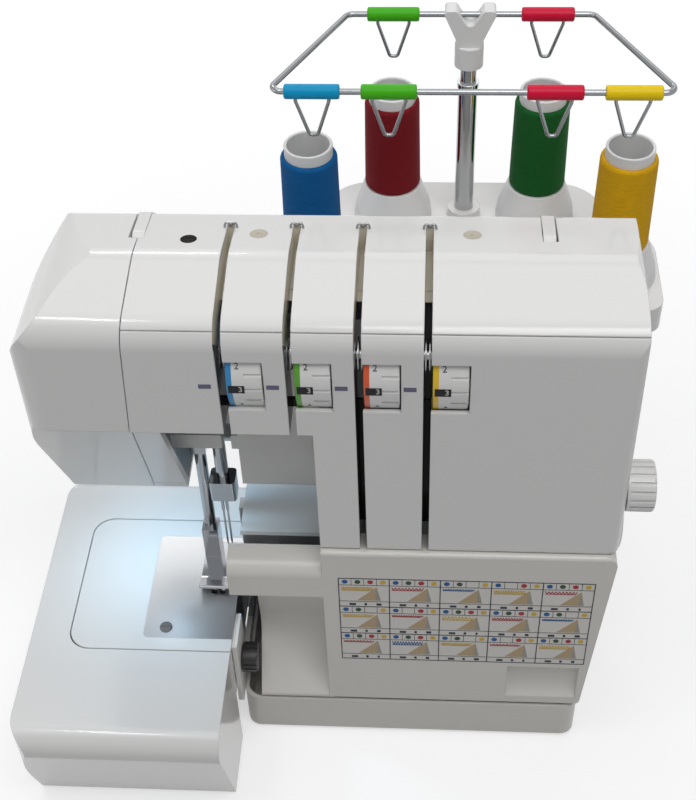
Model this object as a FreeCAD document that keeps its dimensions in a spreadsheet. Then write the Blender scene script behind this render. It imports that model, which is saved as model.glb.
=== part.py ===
import FreeCAD, Part
import math
import operator
import os

import Sketcher

# Serger (overlock) sewing machine. X runs to the right as the operator sees it, Y to the back and Z up.
# The origin is on the table, under the middle of the machine's outline. All lengths are millimetres.

SIZES = {
    # Housing: depths are counted back from the front panel, heights from the table
    "panel_y": -75.82,
    "wall": 3.0,
    "seam_gap": 0.4,
    "fit_gap": 0.05,
    "free_gap": 0.6,
    "head_left": -146.0,
    "face_seam_x": -88.5,
    "face_seam_lean": 19.2,
    "tower_left": -6.5,
    "tower_right": 142.5,
    "tower_flare": 1.5,
    "panel_bottom": 165.0,
    "head_bottom": 247.0,
    "throat_top": 162.0,
    "throat_lip": 3.0,
    "throat_depth": 42.0,
    "brow_z": 310.0,
    "crown_depth": 43.0,
    "crown_z": 320.0,
    "ledge_length": 20.0,
    "ledge_top": 313.0,
    "ledge_z": 282.0,
    "body_depth": 104.0,
    "brow_round": 14.0,
    "crown_round": 30.0,
    "edge_round": 5.0,
    "corner_round": 6.0,
    "rear_round": 10.0,
    "cheek_depth": 48.0,
    "cheek_in": 5.0,
    "cheek_front_round": 14.0,
    "cheek_side_round": 30.0,
    "cheek_top_round": 45.0,
    "rear_left": -120.0,
    "seam_z": 308.0,
    "rear_seam": 40.0,
    "belt_seam_x": 126.0,
    "lamp_left": -118.0,
    "lamp_length": 18.0,
    "lamp_depth": 46.0,
    "lamp_width": 20.0,
    "mouth_left": -80.0,
    "mouth_depth": 76.0,
    # Lower body and base
    "lower_left": -55.0,
    "base_right": 134.5,
    "shelf_z": 128.0,
    "side_window_depth": 82.0,
    "tray_top": 31.0,
    "tray_bottom": 3.0,
    "tray_floor": 3.0,
    "tray_wall": 2.0,
    "tray_round": 8.0,
    "foot_radius": 8.0,
    "foot_inset": 13.0,
    "door_front": 3.0,
    "inner_panel_x": 14.0,
    "inner_panel_return": 26.0,
    # Thread slots and tension dials
    "slot_pitch": 31.0,
    "slot_width": 3.5,
    "slot_depth": 19.0,
    "slot_end": 70.0,
    "slot_floor_z": 302.0,
    "rib": 1.5,
    "guide_rise": 5.0,
    "guide_thick": 1.0,
    "dial_z": 278.0,
    "dial_depth": 23.2,
    "dial_radius": 25.0,
    "dial_width": 16.2,
    "dial_side_gap": 0.65,
    "dial_grip": 8.0,
    "window_height": 30.0,
    "post_radius": 2.5,
    "post_root": 9.0,
    "disc_radius": 8.0,
    "disc_thick": 0.6,
    # Carrying handle
    "handle_left": -92.6,
    "handle_right": 104.6,
    "handle_arm": 6.0,
    "handle_bar": 12.0,
    "handle_reach": 18.0,
    "handle_pivot_z": 310.0,
    "handle_bar_back": 9.0,
    "handle_bar_z": 291.0,
    "handle_pin_radius": 3.0,
    "handle_pin_length": 10.0,
    # Bed: free arm, needle plate and extension table
    "bed_z": 86.0,
    "bed_left": -170.0,
    "bed_right": -58.5,
    "bed_front": -75.0,
    "bed_undercut": 28.0,
    "bed_rear": 112.0,
    "bed_bottom": 2.0,
    "bed_edge_round": 12.0,
    "bed_corner_round": 22.0,
    "arm_left": -148.5,
    "arm_front": -10.0,
    "arm_rear": 82.0,
    "arm_bottom": 46.0,
    "arm_round": 12.0,
    "plate_left": -108.0,
    "plate_front": -2.0,
    "plate_rear": 70.0,
    "plate_thick": 2.0,
    "plate_seat": 6.0,
    # Sewing parts
    "needle_x": -63.0,
    "needle_depth": 52.0,
    "needle_pitch": 2.4,
    "needle_forward": 4.4,
    "needle_radius": 0.9,
    "needle_tip_z": 106.0,
    "clamp_z": 146.0,
    "clamp_height": 14.0,
    "needle_bar_radius": 3.5,
    "needle_bar_top": 300.0,
    "presser_x": -75.0,
    "presser_depth": 58.0,
    "presser_radius": 3.25,
    "presser_top": 296.0,
    "foot_front": 28.0,
    "foot_rear": 64.0,
    "foot_left": -80.0,
    "foot_right": -59.3,
    "foot_sole": 3.0,
    "foot_gap": 0.4,
    "feed_front": 33.0,
    "feed_rear": 60.0,
    "feed_travel": 3.0,
    "feed_top": 85.2,
    "feed_bar": 2.0,
    "knife_front": 30.0,
    "knife_width": 8.0,
    "knife_thick": 2.0,
    "knife_x": -58.1,
    "knife_pivot_x": -8.0,
    "knife_pivot_z": 112.0,
    "pivot_radius": 4.0,
    "upper_looper_x": -6.0,
    "upper_looper_z": 88.0,
    "upper_looper_front": 46.0,
    "lower_looper_x": -44.0,
    "lower_looper_z": 40.0,
    "lower_looper_front": 54.0,
    "looper_thick": 3.0,
    "hub_radius": 8.0,
    # Machine frame and drive
    "lug_front": 62.0,
    "lug_thick": 8.0,
    "lug_top": 122.0,
    "frame_base_z": 14.0,
    "shaft_back": 24.0,
    "frame_clear": 6.0,
    "beam_clear": 6.0,
    "guard_depth": 44.0,
    "guard_right": -7.2,
    "shaft_z": 112.0,
    "shaft_radius": 5.0,
    "bush_radius": 8.0,
    "column_x": 4.0,
    "column_width": 22.0,
    "bearing_x": 98.0,
    "bearing_width": 8.0,
    "beam_z": 236.0,
    "beam_top": 256.0,
    "beam_deep": 16.0,
    "bracket_z": 190.0,
    "motor_z": 46.0,
    "motor_radius": 20.0,
    "motor_x": 34.0,
    "motor_length": 64.0,
    "pulley_x": 112.0,
    "pulley_width": 10.0,
    "pulley_radius": 16.0,
    "motor_pulley_radius": 8.0,
    "belt_thick": 3.0,
    "wheel_radius": 27.0,
    "wheel_width": 11.0,
    "screw_radius": 3.5,
    "screw_height": 1.6,
    # Right side controls
    "length_dial_depth": 18.0,
    "length_dial_z": 197.0,
    "length_dial_radius": 13.0,
    "length_dial_width": 14.0,
    "feed_dial_depth": 72.0,
    "feed_dial_z": 215.0,
    "feed_dial_radius": 12.0,
    "feed_dial_width": 9.0,
    "control_shaft": 3.0,
    "width_knob_depth": 5.0,
    "width_knob_z": 60.0,
    "width_knob_radius": 8.5,
    "inlet_front": 22.0,
    "inlet_width": 32.0,
    "inlet_z": 34.0,
    "inlet_height": 66.0,
    "rocker_pin": 1.4,
    # Looper cover
    "door_bottom": 32.3,
    "door_top": 164.0,
    "door_right": 144.0,
    "door_left": -56.0,
    "pocket_left": -45.5,
    "pocket_bottom": 36.0,
    "pocket_depth": 25.0,
    "shoulder_bottom": 126.0,
    "shoulder_top": 150.0,
    "shoulder_depth": 17.0,
    "door_wall": 2.5,
    "door_depth": 11.0,
    "hinge_depth": 2.0,
    "hinge_z": 38.0,
    "hinge_radius": 1.2,
    "hinge_wall": 0.9,
    # Spool stand, cones and thread tree
    "stand_x": 65.0,
    "stand_z": 231.0,
    "stand_height": 16.0,
    "stand_half": 105.0,
    "stand_gap": 6.0,
    "stand_back": 118.0,
    "stand_wall": 3.0,
    "outer_cone": 81.0,
    "inner_cone": 40.0,
    "outer_cone_back": 38.0,
    "inner_cone_back": 89.0,
    "cone_flare": 22.0,
    "cone_flare_height": 22.0,
    "cone_rim_z": 312.0,
    "cone_tube": 12.5,
    "cone_wall": 1.6,
    "thread_radius": 15.5,
    "thread_height": 53.0,
    "pin_radius": 3.0,
    "pin_height": 70.0,
    "pole_back": 88.0,
    "pole_radius": 5.2,
    "pole_wall": 0.8,
    "pole_bottom": 150.0,
    "pole_joint_z": 318.0,
    "pole_overlap": 150.0,
    "tree_z": 356.5,
    "tree_back": 16.0,
    "tree_half": 97.0,
    "tree_back_half": 62.0,
    "tree_round": 4.5,
    "wire_radius": 1.5,
    "clip_radius": 3.6,
    "clip_length": 26.5,
    "hook_depth": 24.0,
    "hook_half": 8.0,
    "hook_radius": 0.9,
    "clip_outer": 75.5,
    "clip_inner": 39.0,
    "fork_half": 14.0,
    "fork_bottom": 328.0,
    "fork_thick": 10.0,
}


class Size:
    """A length together with the expression that ties it to the sheet."""

    def __init__(self, value, text):
        self.value = value
        self.text = text

    def __add__(self, other):
        return joined(operator.add, "+", self, other)

    def __radd__(self, other):
        return joined(operator.add, "+", other, self)

    def __sub__(self, other):
        return joined(operator.sub, "-", self, other)

    def __rsub__(self, other):
        return joined(operator.sub, "-", other, self)

    def __mul__(self, other):
        return joined(operator.mul, "*", self, other)

    def __rmul__(self, other):
        return joined(operator.mul, "*", other, self)

    def __truediv__(self, other):
        return joined(operator.truediv, "/", self, other)

    def __neg__(self):
        return joined(operator.mul, "*", -1, self)


def as_size(number):
    return number if isinstance(number, Size) else Size(float(number), f"({float(number)!r})")


def joined(work, sign, first, second):
    first, second = as_size(first), as_size(second)
    return Size(work(first.value, second.value), f"({first.text} {sign} {second.text})")


class Sheet:
    """The driving dimensions, each a cell of the document's spreadsheet."""

    def __init__(self, cells):
        table = doc.addObject("Spreadsheet::Sheet", "Sizes")
        for row, (name, value) in enumerate(cells.items(), start=1):
            table.set(f"A{row}", name)
            table.set(f"B{row}", str(value))
            table.setAlias(f"B{row}", name)
            setattr(self, name, Size(value, f"Sizes.{name}"))


doc = FreeCAD.newDocument("serger")
d = Sheet(SIZES)
doc.recompute()
Vector = FreeCAD.Vector
pieces = []

TURNS = {
    "X": FreeCAD.Rotation(Vector(0, 1, 0), 90),
    "Y": FreeCAD.Rotation(Vector(1, 0, 0), -90),
    "Z": FreeCAD.Rotation(),
}


def bind(thing, prop, size):
    thing.setExpression(prop, as_size(size).text)


def place(thing, x, y, z, axis="Z"):
    thing.Placement = FreeCAD.Placement(Vector(), TURNS[axis])
    bind(thing, "Placement.Base.x", x)
    bind(thing, "Placement.Base.y", y)
    bind(thing, "Placement.Base.z", z)
    return thing


def piece(label, thing):
    """Names a finished piece of the machine."""
    thing.Label = label
    pieces.append(thing)
    return thing


def box(name, x, y, z):
    """Block between two X, two Y and two Z values."""
    block = doc.addObject("Part::Box", name)
    bind(block, "Length", x[1] - x[0])
    bind(block, "Width", y[1] - y[0])
    bind(block, "Height", z[1] - z[0])
    return place(block, x[0], y[0], z[0])


def rod(name, axis, start, radius, length):
    """Round bar from a point along an axis."""
    bar = doc.addObject("Part::Cylinder", name)
    bind(bar, "Radius", radius)
    bind(bar, "Height", length)
    return place(bar, *start, axis)


def fuse(name, *shapes):
    union = doc.addObject("Part::MultiFuse", name)
    union.Shapes = list(shapes)
    union.Refine = True
    return union


def common(name, base, tool):
    overlap = doc.addObject("Part::Common", name)
    overlap.Base, overlap.Tool = base, tool
    return overlap


def cut(name, base, *tools):
    result = doc.addObject("Part::Cut", name)
    result.Base = base
    result.Tool = tools[0] if len(tools) == 1 else fuse(name + "_tools", *tools)
    result.Refine = True
    return result


def group(name, *shapes):
    """Separate solids that share one node."""
    bundle = doc.addObject("Part::Compound", name)
    bundle.Links = list(shapes)
    return bundle


def new_sketch(body, plane, offset=0):
    """Sketch on one of the body's origin planes, moved along that plane's normal."""
    sketch = body.newObject("Sketcher::SketchObject", body.Name + "_sketch")
    role = plane + "_Plane"
    sketch.AttachmentSupport = [(next(o for o in body.Origin.OriginFeatures if o.Role == role), "")]
    sketch.MapMode = "FlatFace"
    bind(sketch, "AttachmentOffset.Base.z", offset)
    return sketch


def corner_arc(before, here, after, radius):
    """Points where a rounded corner begins and ends, its centre, and whether it turns left."""
    back, ahead = (before - here).normalize(), (after - here).normalize()
    half = back.getAngle(ahead) / 2
    reach = radius / math.tan(half)
    centre = here + (back + ahead).normalize() * (radius / math.sin(half))
    return here + back * reach, here + ahead * reach, centre, back.cross(ahead).z < 0


def outline(sketch, corners, closed=True):
    """Straight runs through corners (u, v, radius), tied to the sheet; radius 0 is a sharp corner."""
    corners = [tuple(as_size(n) for n in corner) for corner in corners]
    points = [Vector(u.value, v.value, 0) for u, v, _ in corners]
    count = len(corners)
    inner = range(count) if closed else range(1, count - 1)
    starts, ends, arcs = list(points), list(points), {}
    for i in inner:
        if corners[i][2].value > 0:
            arc = corner_arc(points[i - 1], points[i], points[(i + 1) % count], corners[i][2].value)
            starts[i], ends[i] = arc[0], arc[1]
            arcs[i] = arc
    runs = count if closed else count - 1
    for i in range(runs):
        sketch.addGeometry(Part.LineSegment(ends[i], starts[(i + 1) % count]), False)
    rules, sizes = [], []

    def pin(geometry, point, i):
        for kind, size in zip(("DistanceX", "DistanceY"), corners[i][:2]):
            sizes.append((len(rules), size))
            rules.append(Sketcher.Constraint(kind, -1, 1, geometry, point, size.value))

    if not closed:
        pin(0, 1, 0)
        pin(runs - 1, 2, count - 1)
    for i in inner:
        run_in, run_out = (i - 1) % count, i
        if i not in arcs:
            rules.append(Sketcher.Constraint("Coincident", run_in, 2, run_out, 1))
            pin(run_out, 1, i)
            continue
        begin, end, centre, left = arcs[i]
        first, last = (begin, end) if left else (end, begin)
        angles = [math.atan2(p.y - centre.y, p.x - centre.x) for p in (first, last)]
        circle = Part.Circle(centre, Vector(0, 0, 1), corners[i][2].value)
        arc = sketch.addGeometry(Part.ArcOfCircle(circle, *angles), False)
        mark = sketch.addGeometry(Part.Point(points[i]), True)
        rules.append(Sketcher.Constraint("Tangent", run_in, 2, arc, 1 if left else 2))
        rules.append(Sketcher.Constraint("Tangent", run_out, 1, arc, 2 if left else 1))
        rules.append(Sketcher.Constraint("PointOnObject", mark, 1, run_in))
        rules.append(Sketcher.Constraint("PointOnObject", mark, 1, run_out))
        pin(mark, 1, i)
        sizes.append((len(rules), corners[i][2]))
        rules.append(Sketcher.Constraint("Radius", arc, corners[i][2].value))
    sketch.addConstraint(rules)
    for index, size in sizes:
        sketch.setExpression(f"Constraints[{index}]", size.text)


def padded(name, plane, corners, low, high):
    """Body of one outline, drawn out along its plane's normal from low to high."""
    body = doc.addObject("PartDesign::Body", name)
    sketch = new_sketch(body, plane, -as_size(high) if plane == "XZ" else low)
    outline(sketch, corners)
    pad = body.newObject("PartDesign::Pad", name + "_pad")
    pad.Profile = sketch
    bind(pad, "Length", as_size(high) - low)
    return body


def turned(name, corners, x, y, z, axis):
    """Body turned about an axis through a point; corners are (radius, height along the axis, rounding)."""
    body = doc.addObject("PartDesign::Body", name)
    sketch = new_sketch(body, "XZ")
    outline(sketch, corners)
    spin = body.newObject("PartDesign::Revolution", name + "_turn")
    spin.Profile = sketch
    spin.ReferenceAxis = (sketch, ["V_Axis"])
    return place(body, x, y, z, axis)


# Housing


def depth(back):
    """Y of a depth behind the front panel."""
    return d.panel_y + back


def span(low, high):
    """Y range between two depths."""
    return depth(low), depth(high)


def about(middle, half):
    return middle - half, middle + half


ledge_depth = d.body_depth - d.ledge_length
frame_rear = d.body_depth - d.frame_clear
beam_rear = frame_rear - d.beam_clear
column_front = d.lug_front + d.lug_thick + 2
shaft_depth = d.body_depth - d.shaft_back
handle_pivot_depth = ledge_depth - d.handle_reach
handle_bar_depth = d.body_depth - d.handle_bar_back
stand_front = d.body_depth + d.stand_gap
stand_rear = d.body_depth + d.stand_back
outer_cone_depth = d.body_depth + d.outer_cone_back
inner_cone_depth = d.body_depth + d.inner_cone_back
pole_depth = d.body_depth + d.pole_back
tree_front = d.body_depth + d.tree_back


def crown(inset):
    """Upper part of the side outline, from the brow over the crown to the ledge for the handle."""
    return [
        (depth(0) + inset, d.brow_z - inset, d.brow_round),
        (depth(d.crown_depth), d.crown_z - inset, d.crown_round),
        (depth(ledge_depth) - inset, d.ledge_top - inset, d.edge_round),
        (depth(ledge_depth) - inset, d.ledge_z - inset, 1),
        (depth(d.body_depth) - inset, d.ledge_z - inset, d.edge_round),
    ]


def housing_block(name, inset):
    """Solid the size of the housing, or of the room inside it: side, front and plan outlines in common."""
    left, right = d.head_left + inset, d.tower_right - inset
    wide = right + d.tower_flare
    front, rear = depth(0) + inset, depth(d.body_depth) - inset
    bottom, top = d.tray_top - inset / 3, d.crown_z - inset
    side = padded(name + "Side", "YZ", crown(inset) + [(rear, bottom, 0), (front, bottom, 0)], left, wide)
    face = padded(name + "Front", "XZ", [
        (left, d.throat_top + inset, d.edge_round), (d.tower_left + inset, d.throat_top + inset, 0),
        (d.tower_left + inset, d.shelf_z - inset, 0), (d.lower_left + inset, d.shelf_z - inset, 0),
        (d.lower_left + inset, bottom, 0), (d.base_right - inset, bottom, 0), (wide, d.panel_bottom, 0),
        (right, top, d.corner_round), (left, top, d.cheek_top_round),
    ], front, rear)
    plan = padded(name + "Plan", "XY", [
        (left, front, d.cheek_front_round), (wide, front, d.corner_round), (wide, rear, d.rear_round),
        (d.rear_left + inset, rear, d.rear_round),
        (left + d.cheek_in, depth(d.cheek_depth), d.cheek_side_round),
    ], bottom, d.crown_z)
    throat_low = (d.shelf_z + d.throat_top) / 2
    lean = (d.throat_depth - d.throat_lip) / (d.head_bottom - d.throat_top)
    throat_back = depth(d.throat_depth) + inset + lean * (d.throat_top + inset - throat_low)
    throat = padded(name + "Throat", "YZ", [
        (depth(-1), throat_low, 0), (throat_back, throat_low, 0),
        (depth(d.throat_lip) + inset, d.head_bottom + inset, 0), (depth(-1), d.head_bottom + inset, 0),
    ], d.head_left - 1, d.tower_left + inset)
    return cut(name, common(name + "Solid", side, common(name + "Views", face, plan)), throat)


FAR = 400
slots = [d.slot_pitch * place_in_row for place_in_row in (-1.5, -0.5, 0.5, 1.5)]
slot_bottoms = [d.head_bottom, d.head_bottom, d.panel_bottom, d.panel_bottom]
DIALS = ("blue", "green", "orange", "yellow")


def slot_boxes(name, grow, bottom_drop, depth_grow):
    """Upright and top leg of each thread slot, or of the channel round it."""
    legs = []
    for i, (x, bottom) in enumerate(zip(slots, slot_bottoms)):
        across = about(x, d.slot_width / 2 + grow)
        legs.append(box(f"{name}Front{i}", across, (depth(-1), depth(d.slot_depth + depth_grow)),
                        (bottom - bottom_drop, d.crown_z + 1)))
        legs.append(box(f"{name}Top{i}", across, (depth(-1), depth(d.slot_end + depth_grow)),
                        (d.slot_floor_z - depth_grow, d.crown_z + 1)))
    return fuse(name, *legs)


def make_housing():
    """Moulded shell of the whole body, with thread channels, before it is split into covers."""
    outer = housing_block("Outer", as_size(0))
    inner = housing_block("Inner", d.wall)
    mouth = box("Mouth", (d.mouth_left, d.tower_left), span(d.wall, d.mouth_depth),
                (d.throat_top - 1, d.head_bottom + d.wall + 1))
    side_window = box("SideWindow", (d.lower_left - 1, d.lower_left + d.wall),
                      span(-1, d.side_window_depth), (d.tray_top - 1, d.shelf_z - d.wall))
    shell = cut("Shell", cut("ShellBlank", outer, inner), mouth, side_window)
    channels = common("Channels", slot_boxes("ChannelBoxes", d.rib, 0, d.rib), outer)
    bosses = [box(f"PostBoss{i}", (x - d.post_root, x - d.slot_width / 2),
                  span(1, d.dial_depth + 2 * d.post_radius), about(d.dial_z, 2 * d.post_radius))
              for i, x in enumerate(slots)]
    slot_cut = slot_boxes("SlotCut", 0, 1, 0)
    dial_rooms = []
    for i, x in enumerate(slots):
        room = (x - d.slot_width / 2, x + d.slot_width / 2 + d.dial_width + 2 * d.dial_side_gap)
        dial_rooms.append(rod(f"DialRoom{i}", "X", (room[0], depth(d.dial_depth), d.dial_z),
                              d.dial_radius + d.free_gap, room[1] - room[0]))
        dial_rooms.append(box(f"Window{i}", (x, room[1]), span(-1, d.wall + 1),
                              about(d.dial_z, d.window_height / 2)))
        dial_rooms.append(rod(f"PostHole{i}", "X", (x - d.post_root - 1, depth(d.dial_depth), d.dial_z),
                              d.post_radius, d.post_root))
    return cut("Housing", fuse("Moulding", shell, channels, *bosses), slot_cut, *dial_rooms)


def beside_seam(name, shift, far):
    """All that lies on one side of the leaning seam of the face cover."""
    return padded(name, "XZ", [
        (d.face_seam_x + shift, d.crown_z + 1, 0),
        (d.face_seam_x - d.face_seam_lean + shift, as_size(0), 0),
        (far, as_size(0), 0), (far, d.crown_z + 1, 0),
    ], as_size(-FAR), as_size(FAR))


housing = make_housing()
half_seam = d.seam_gap / 2
everywhere = (as_size(-FAR), as_size(FAR))
arm_slot_y = span(handle_pivot_depth - d.handle_bar / 2 - 4 * d.free_gap, ledge_depth + 1)
handle_slot = group("HandleSlots",
                    box("LeftArmSlot",
                        (d.handle_left - d.free_gap, d.handle_left + d.handle_arm + d.free_gap),
                        arm_slot_y, (d.ledge_z, as_size(FAR))),
                    box("RightArmSlot",
                        (d.handle_right - d.handle_arm - d.free_gap, d.handle_right + d.free_gap),
                        arm_slot_y, (d.ledge_z, as_size(FAR))))


def wall_hole(name, radius, at_depth, z):
    """Round hole through the right-hand wall."""
    return rod(name, "X", (d.base_right - 6, depth(at_depth), z), radius, 30)


def thread_guides():
    """Fins with an eye at the rear end of each slot."""
    fins = []
    for i, x in enumerate(slots):
        fin = box(f"Guide{i}", about(x, d.slot_width / 2), span(d.slot_end - d.guide_thick, d.slot_end),
                  (d.slot_floor_z, d.ledge_top + d.guide_rise))
        eye = rod(f"GuideEye{i}", "Y", (x, depth(d.slot_end - 3), d.ledge_top + d.guide_rise - 2),
                  d.disc_thick, 5)
        fins.append(cut(f"GuideFin{i}", fin, eye))
    return fins


def make_covers():
    face = common("FaceSolid", housing, beside_seam("FaceRegion", -half_seam, as_size(-FAR)))
    body = common("BodySolid", housing, beside_seam("BodyRegion", half_seam, as_size(FAR)))
    lamp_x = (d.lamp_left, d.lamp_left + d.lamp_length)
    lamp_y = span(d.lamp_depth, d.lamp_depth + d.lamp_width)
    lamp_room = box("LampRoom", lamp_x, lamp_y, (d.throat_top - 1, d.throat_top + d.wall + 1))
    piece("face_cover", cut("FaceCover", face, handle_slot, lamp_room))
    piece("lamp_lens",
          box("LampLens", lamp_x, lamp_y, (d.throat_top - d.free_gap, d.throat_top + d.wall)))

    channel_rear = box("ChannelRear", about(as_size(0), 2 * d.slot_pitch),
                       span(d.rear_seam + half_seam, d.slot_end + 2 * d.rib),
                       (d.slot_floor_z - 2 * d.rib, d.seam_z + 1))
    top_region = box("TopRegion", everywhere, everywhere, (d.seam_z + half_seam, as_size(FAR)))
    top = common("TopSolid", body, fuse("TopRegions", top_region, channel_rear))
    pin_bosses = []
    for side, x in (("Left", d.handle_left + d.handle_arm + 2),
                    ("Right", d.handle_right - d.handle_arm - 8)):
        ear = box(f"HandleEar{side}", (x, x + 6), about(depth(handle_pivot_depth), 6),
                  (d.handle_pivot_z - 6, d.ledge_top + 1))
        pin_bosses.append(ear)
    bores = [rod(f"HandleBore{i}", "X", (x, depth(handle_pivot_depth), d.handle_pivot_z),
                 d.handle_pin_radius + d.fit_gap, 14)
             for i, x in enumerate((d.handle_left + d.handle_arm - 1,
                                    d.handle_right - d.handle_arm - 13))]
    piece("top_cover",
          cut("TopCover", fuse("TopWithEars", top, *pin_bosses, *thread_guides()), handle_slot, *bores))

    front_region = box("FrontRegion", everywhere, (as_size(-FAR), depth(d.rear_seam) - half_seam),
                       (d.panel_bottom, d.seam_z - half_seam))
    front = common("FrontSolid", body, front_region)
    length_hole = wall_hole("LengthDialHole", d.control_shaft + d.fit_gap, d.length_dial_depth,
                            d.length_dial_z)
    piece("front_panel", cut("FrontPanel", front, length_hole))

    rear_region = box("RearRegion", (as_size(-FAR), d.belt_seam_x - half_seam),
                      (depth(d.rear_seam) + half_seam, as_size(FAR)), (as_size(0), d.seam_z - half_seam))
    lifter_slot = box("LifterSlot", about(d.presser_x, 4), span(d.body_depth - 8, d.body_depth + 2),
                      (d.bracket_z - 20, d.bracket_z + 18))
    rear = common("RearSolid", body, rear_region)
    piece("rear_cover", cut("RearCover", rear, handle_slot, lifter_slot, channel_rear))

    belt_upper = box("BeltUpper", (d.belt_seam_x + half_seam, as_size(FAR)),
                     (depth(d.rear_seam) + half_seam, as_size(FAR)),
                     (d.panel_bottom, d.seam_z - half_seam))
    belt_lower = box("BeltLower", (d.belt_seam_x + half_seam, as_size(FAR)),
                     (depth(d.door_depth + d.free_gap), as_size(FAR)), (as_size(0), d.panel_bottom))
    belt = common("BeltSolid", body, fuse("BeltRegion", belt_upper, belt_lower))
    wheel_hole = wall_hole("WheelHole", d.bush_radius + 2, shaft_depth, d.shaft_z)
    feed_hole = wall_hole("FeedDialHole", d.control_shaft + d.fit_gap, d.feed_dial_depth, d.feed_dial_z)
    inlet_hole = box("InletHole", (d.base_right - 8, d.base_right + 8),
                     (depth(d.inlet_front), depth(d.inlet_front + d.inlet_width)),
                     (d.inlet_z, d.inlet_z + d.inlet_height))
    piece("belt_cover", cut("BeltCover", belt, wheel_hole, feed_hole, inlet_hole))


make_covers()


def make_base():
    """Tray under the body, its feet and the panel behind the looper cover."""
    def tray_plan(inset):
        return [
            (d.lower_left - 1 + inset, depth(-d.door_front) + inset, d.tray_round),
            (d.base_right - inset, depth(-d.door_front) + inset, d.tray_round),
            (d.base_right - inset, depth(d.body_depth) - inset, d.tray_round),
            (d.lower_left - 1 + inset, depth(d.body_depth) - inset, d.tray_round),
        ]

    outer = padded("TrayOuter", "XY", tray_plan(0), d.tray_bottom, d.tray_top)
    inner = padded("TrayInner", "XY", tray_plan(d.tray_wall), d.tray_bottom + d.tray_floor,
                   d.tray_top + 1)
    nose = d.hinge_radius + d.hinge_wall
    lugs = [padded(f"HingeLug{i}", "YZ", [
        (depth(d.hinge_depth) - nose, d.hinge_z - nose, nose),
        (depth(d.hinge_depth + 8), d.hinge_z - nose, 0),
        (depth(d.hinge_depth + 8), d.tray_bottom + 1, 0),
        (depth(d.hinge_depth + 12), d.tray_bottom + 1, 0),
        (depth(d.hinge_depth + 12), d.hinge_z + 4, 1), (depth(d.hinge_depth) - nose, d.hinge_z + 4, 1),
    ], x, x + 6) for i, x in enumerate((d.tower_left + 32, d.tower_left + 80))]
    hinge_bore = rod("HingeBore", "X", (d.lower_left, depth(d.hinge_depth), d.hinge_z),
                     d.hinge_radius + d.fit_gap, 250)
    piece("base_tray",
          cut("BaseTray", fuse("TrayWithLugs", cut("TrayShell", outer, inner), *lugs), hinge_bore))

    feet = []
    for i, x in enumerate((d.lower_left + d.foot_inset, d.base_right - d.foot_inset)):
        for j, y in enumerate((depth(-d.door_front + d.foot_inset), depth(d.body_depth - d.foot_inset))):
            feet.append(turned(f"Foot{i}{j}", [
                (0, 0, 0), (d.foot_radius - 1, 0, 0), (d.foot_radius, d.tray_bottom, 0),
                (0, d.tray_bottom, 0),
            ], x, y, 0, "Z"))
    piece("rubber_feet", group("RubberFeet", *feet))

    panel = box("InnerPlate", (d.inner_panel_x, d.belt_seam_x - 2),
                span(d.rear_seam, d.rear_seam + d.door_wall), (d.tray_top + 2, d.panel_bottom - 2))
    side = box("InnerReturn", (d.inner_panel_x, d.inner_panel_x + d.door_wall),
               span(d.rear_seam, d.rear_seam + d.inner_panel_return),
               (d.tray_top + 2, d.panel_bottom - 2))
    piece("inner_panel", fuse("InnerPanel", panel, side))


make_base()


def tie_ribs(body, radius, low, high, count, width, deep):
    """Grip notches round a turned body, from low to high along its axis."""
    sketch = new_sketch(body, "XY", high)
    outline(sketch, [
        (radius - deep, -width / 2, 0), (radius + 1, -width / 2, 0),
        (radius + 1, width / 2, 0), (radius - deep, width / 2, 0),
    ])
    pocket = body.newObject("PartDesign::Pocket", body.Name + "_notch")
    pocket.Profile = sketch
    bind(pocket, "Length", as_size(high) - low)
    pattern = body.newObject("PartDesign::PolarPattern", body.Name + "_notches")
    pattern.Originals = [pocket]
    pattern.Axis = (sketch, ["N_Axis"])
    pattern.Angle = 360
    pattern.Occurrences = count
    body.Tip = pattern
    return body


def make_tension():
    """Posts, discs and dials of the four thread tensions."""
    posts, discs = [], []
    for i, (colour, x) in enumerate(zip(DIALS, slots)):
        dial_left = x + d.slot_width / 2 + d.dial_side_gap
        root = x - d.post_root
        posts.append(rod(f"Post{i}", "X", (root, depth(d.dial_depth), d.dial_z), d.post_radius,
                         d.post_root + d.slot_width / 2 + d.dial_side_gap + d.dial_width - 2))
        for side in (-1, 1):
            inner = x + side * d.disc_thick
            start = inner if side > 0 else inner - d.disc_thick
            disc = rod(f"Disc{i}{side + 1}", "X", (start, depth(d.dial_depth), d.dial_z),
                       d.disc_radius, d.disc_thick)
            hole = rod(f"DiscHole{i}{side + 1}", "X", (start - 1, depth(d.dial_depth), d.dial_z),
                       d.post_radius, d.disc_thick + 2)
            discs.append(cut(f"DiscRing{i}{side + 1}", disc, hole))
        bore = d.post_radius + d.fit_gap
        drum = turned(f"Dial{i}", [
            (bore, 0, 0), (d.dial_radius, 0, 0.4), (d.dial_radius, d.dial_width, 0.8),
            (d.dial_radius - d.wall, d.dial_width, 0), (d.dial_radius - d.wall, d.wall, 0),
            (2 * d.post_radius, d.wall, 0), (2 * d.post_radius, d.dial_width - 1, 0),
            (bore, d.dial_width - 1, 0),
        ], dial_left, depth(d.dial_depth), d.dial_z, "X")
        tie_ribs(drum, d.dial_radius, d.dial_width - d.dial_grip, d.dial_width, 20, d.rib, d.rib / 2)
        piece(f"tension_dial_{colour}", drum)
    piece("tension_posts", group("TensionPosts", *posts, *discs))


make_tension()


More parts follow.
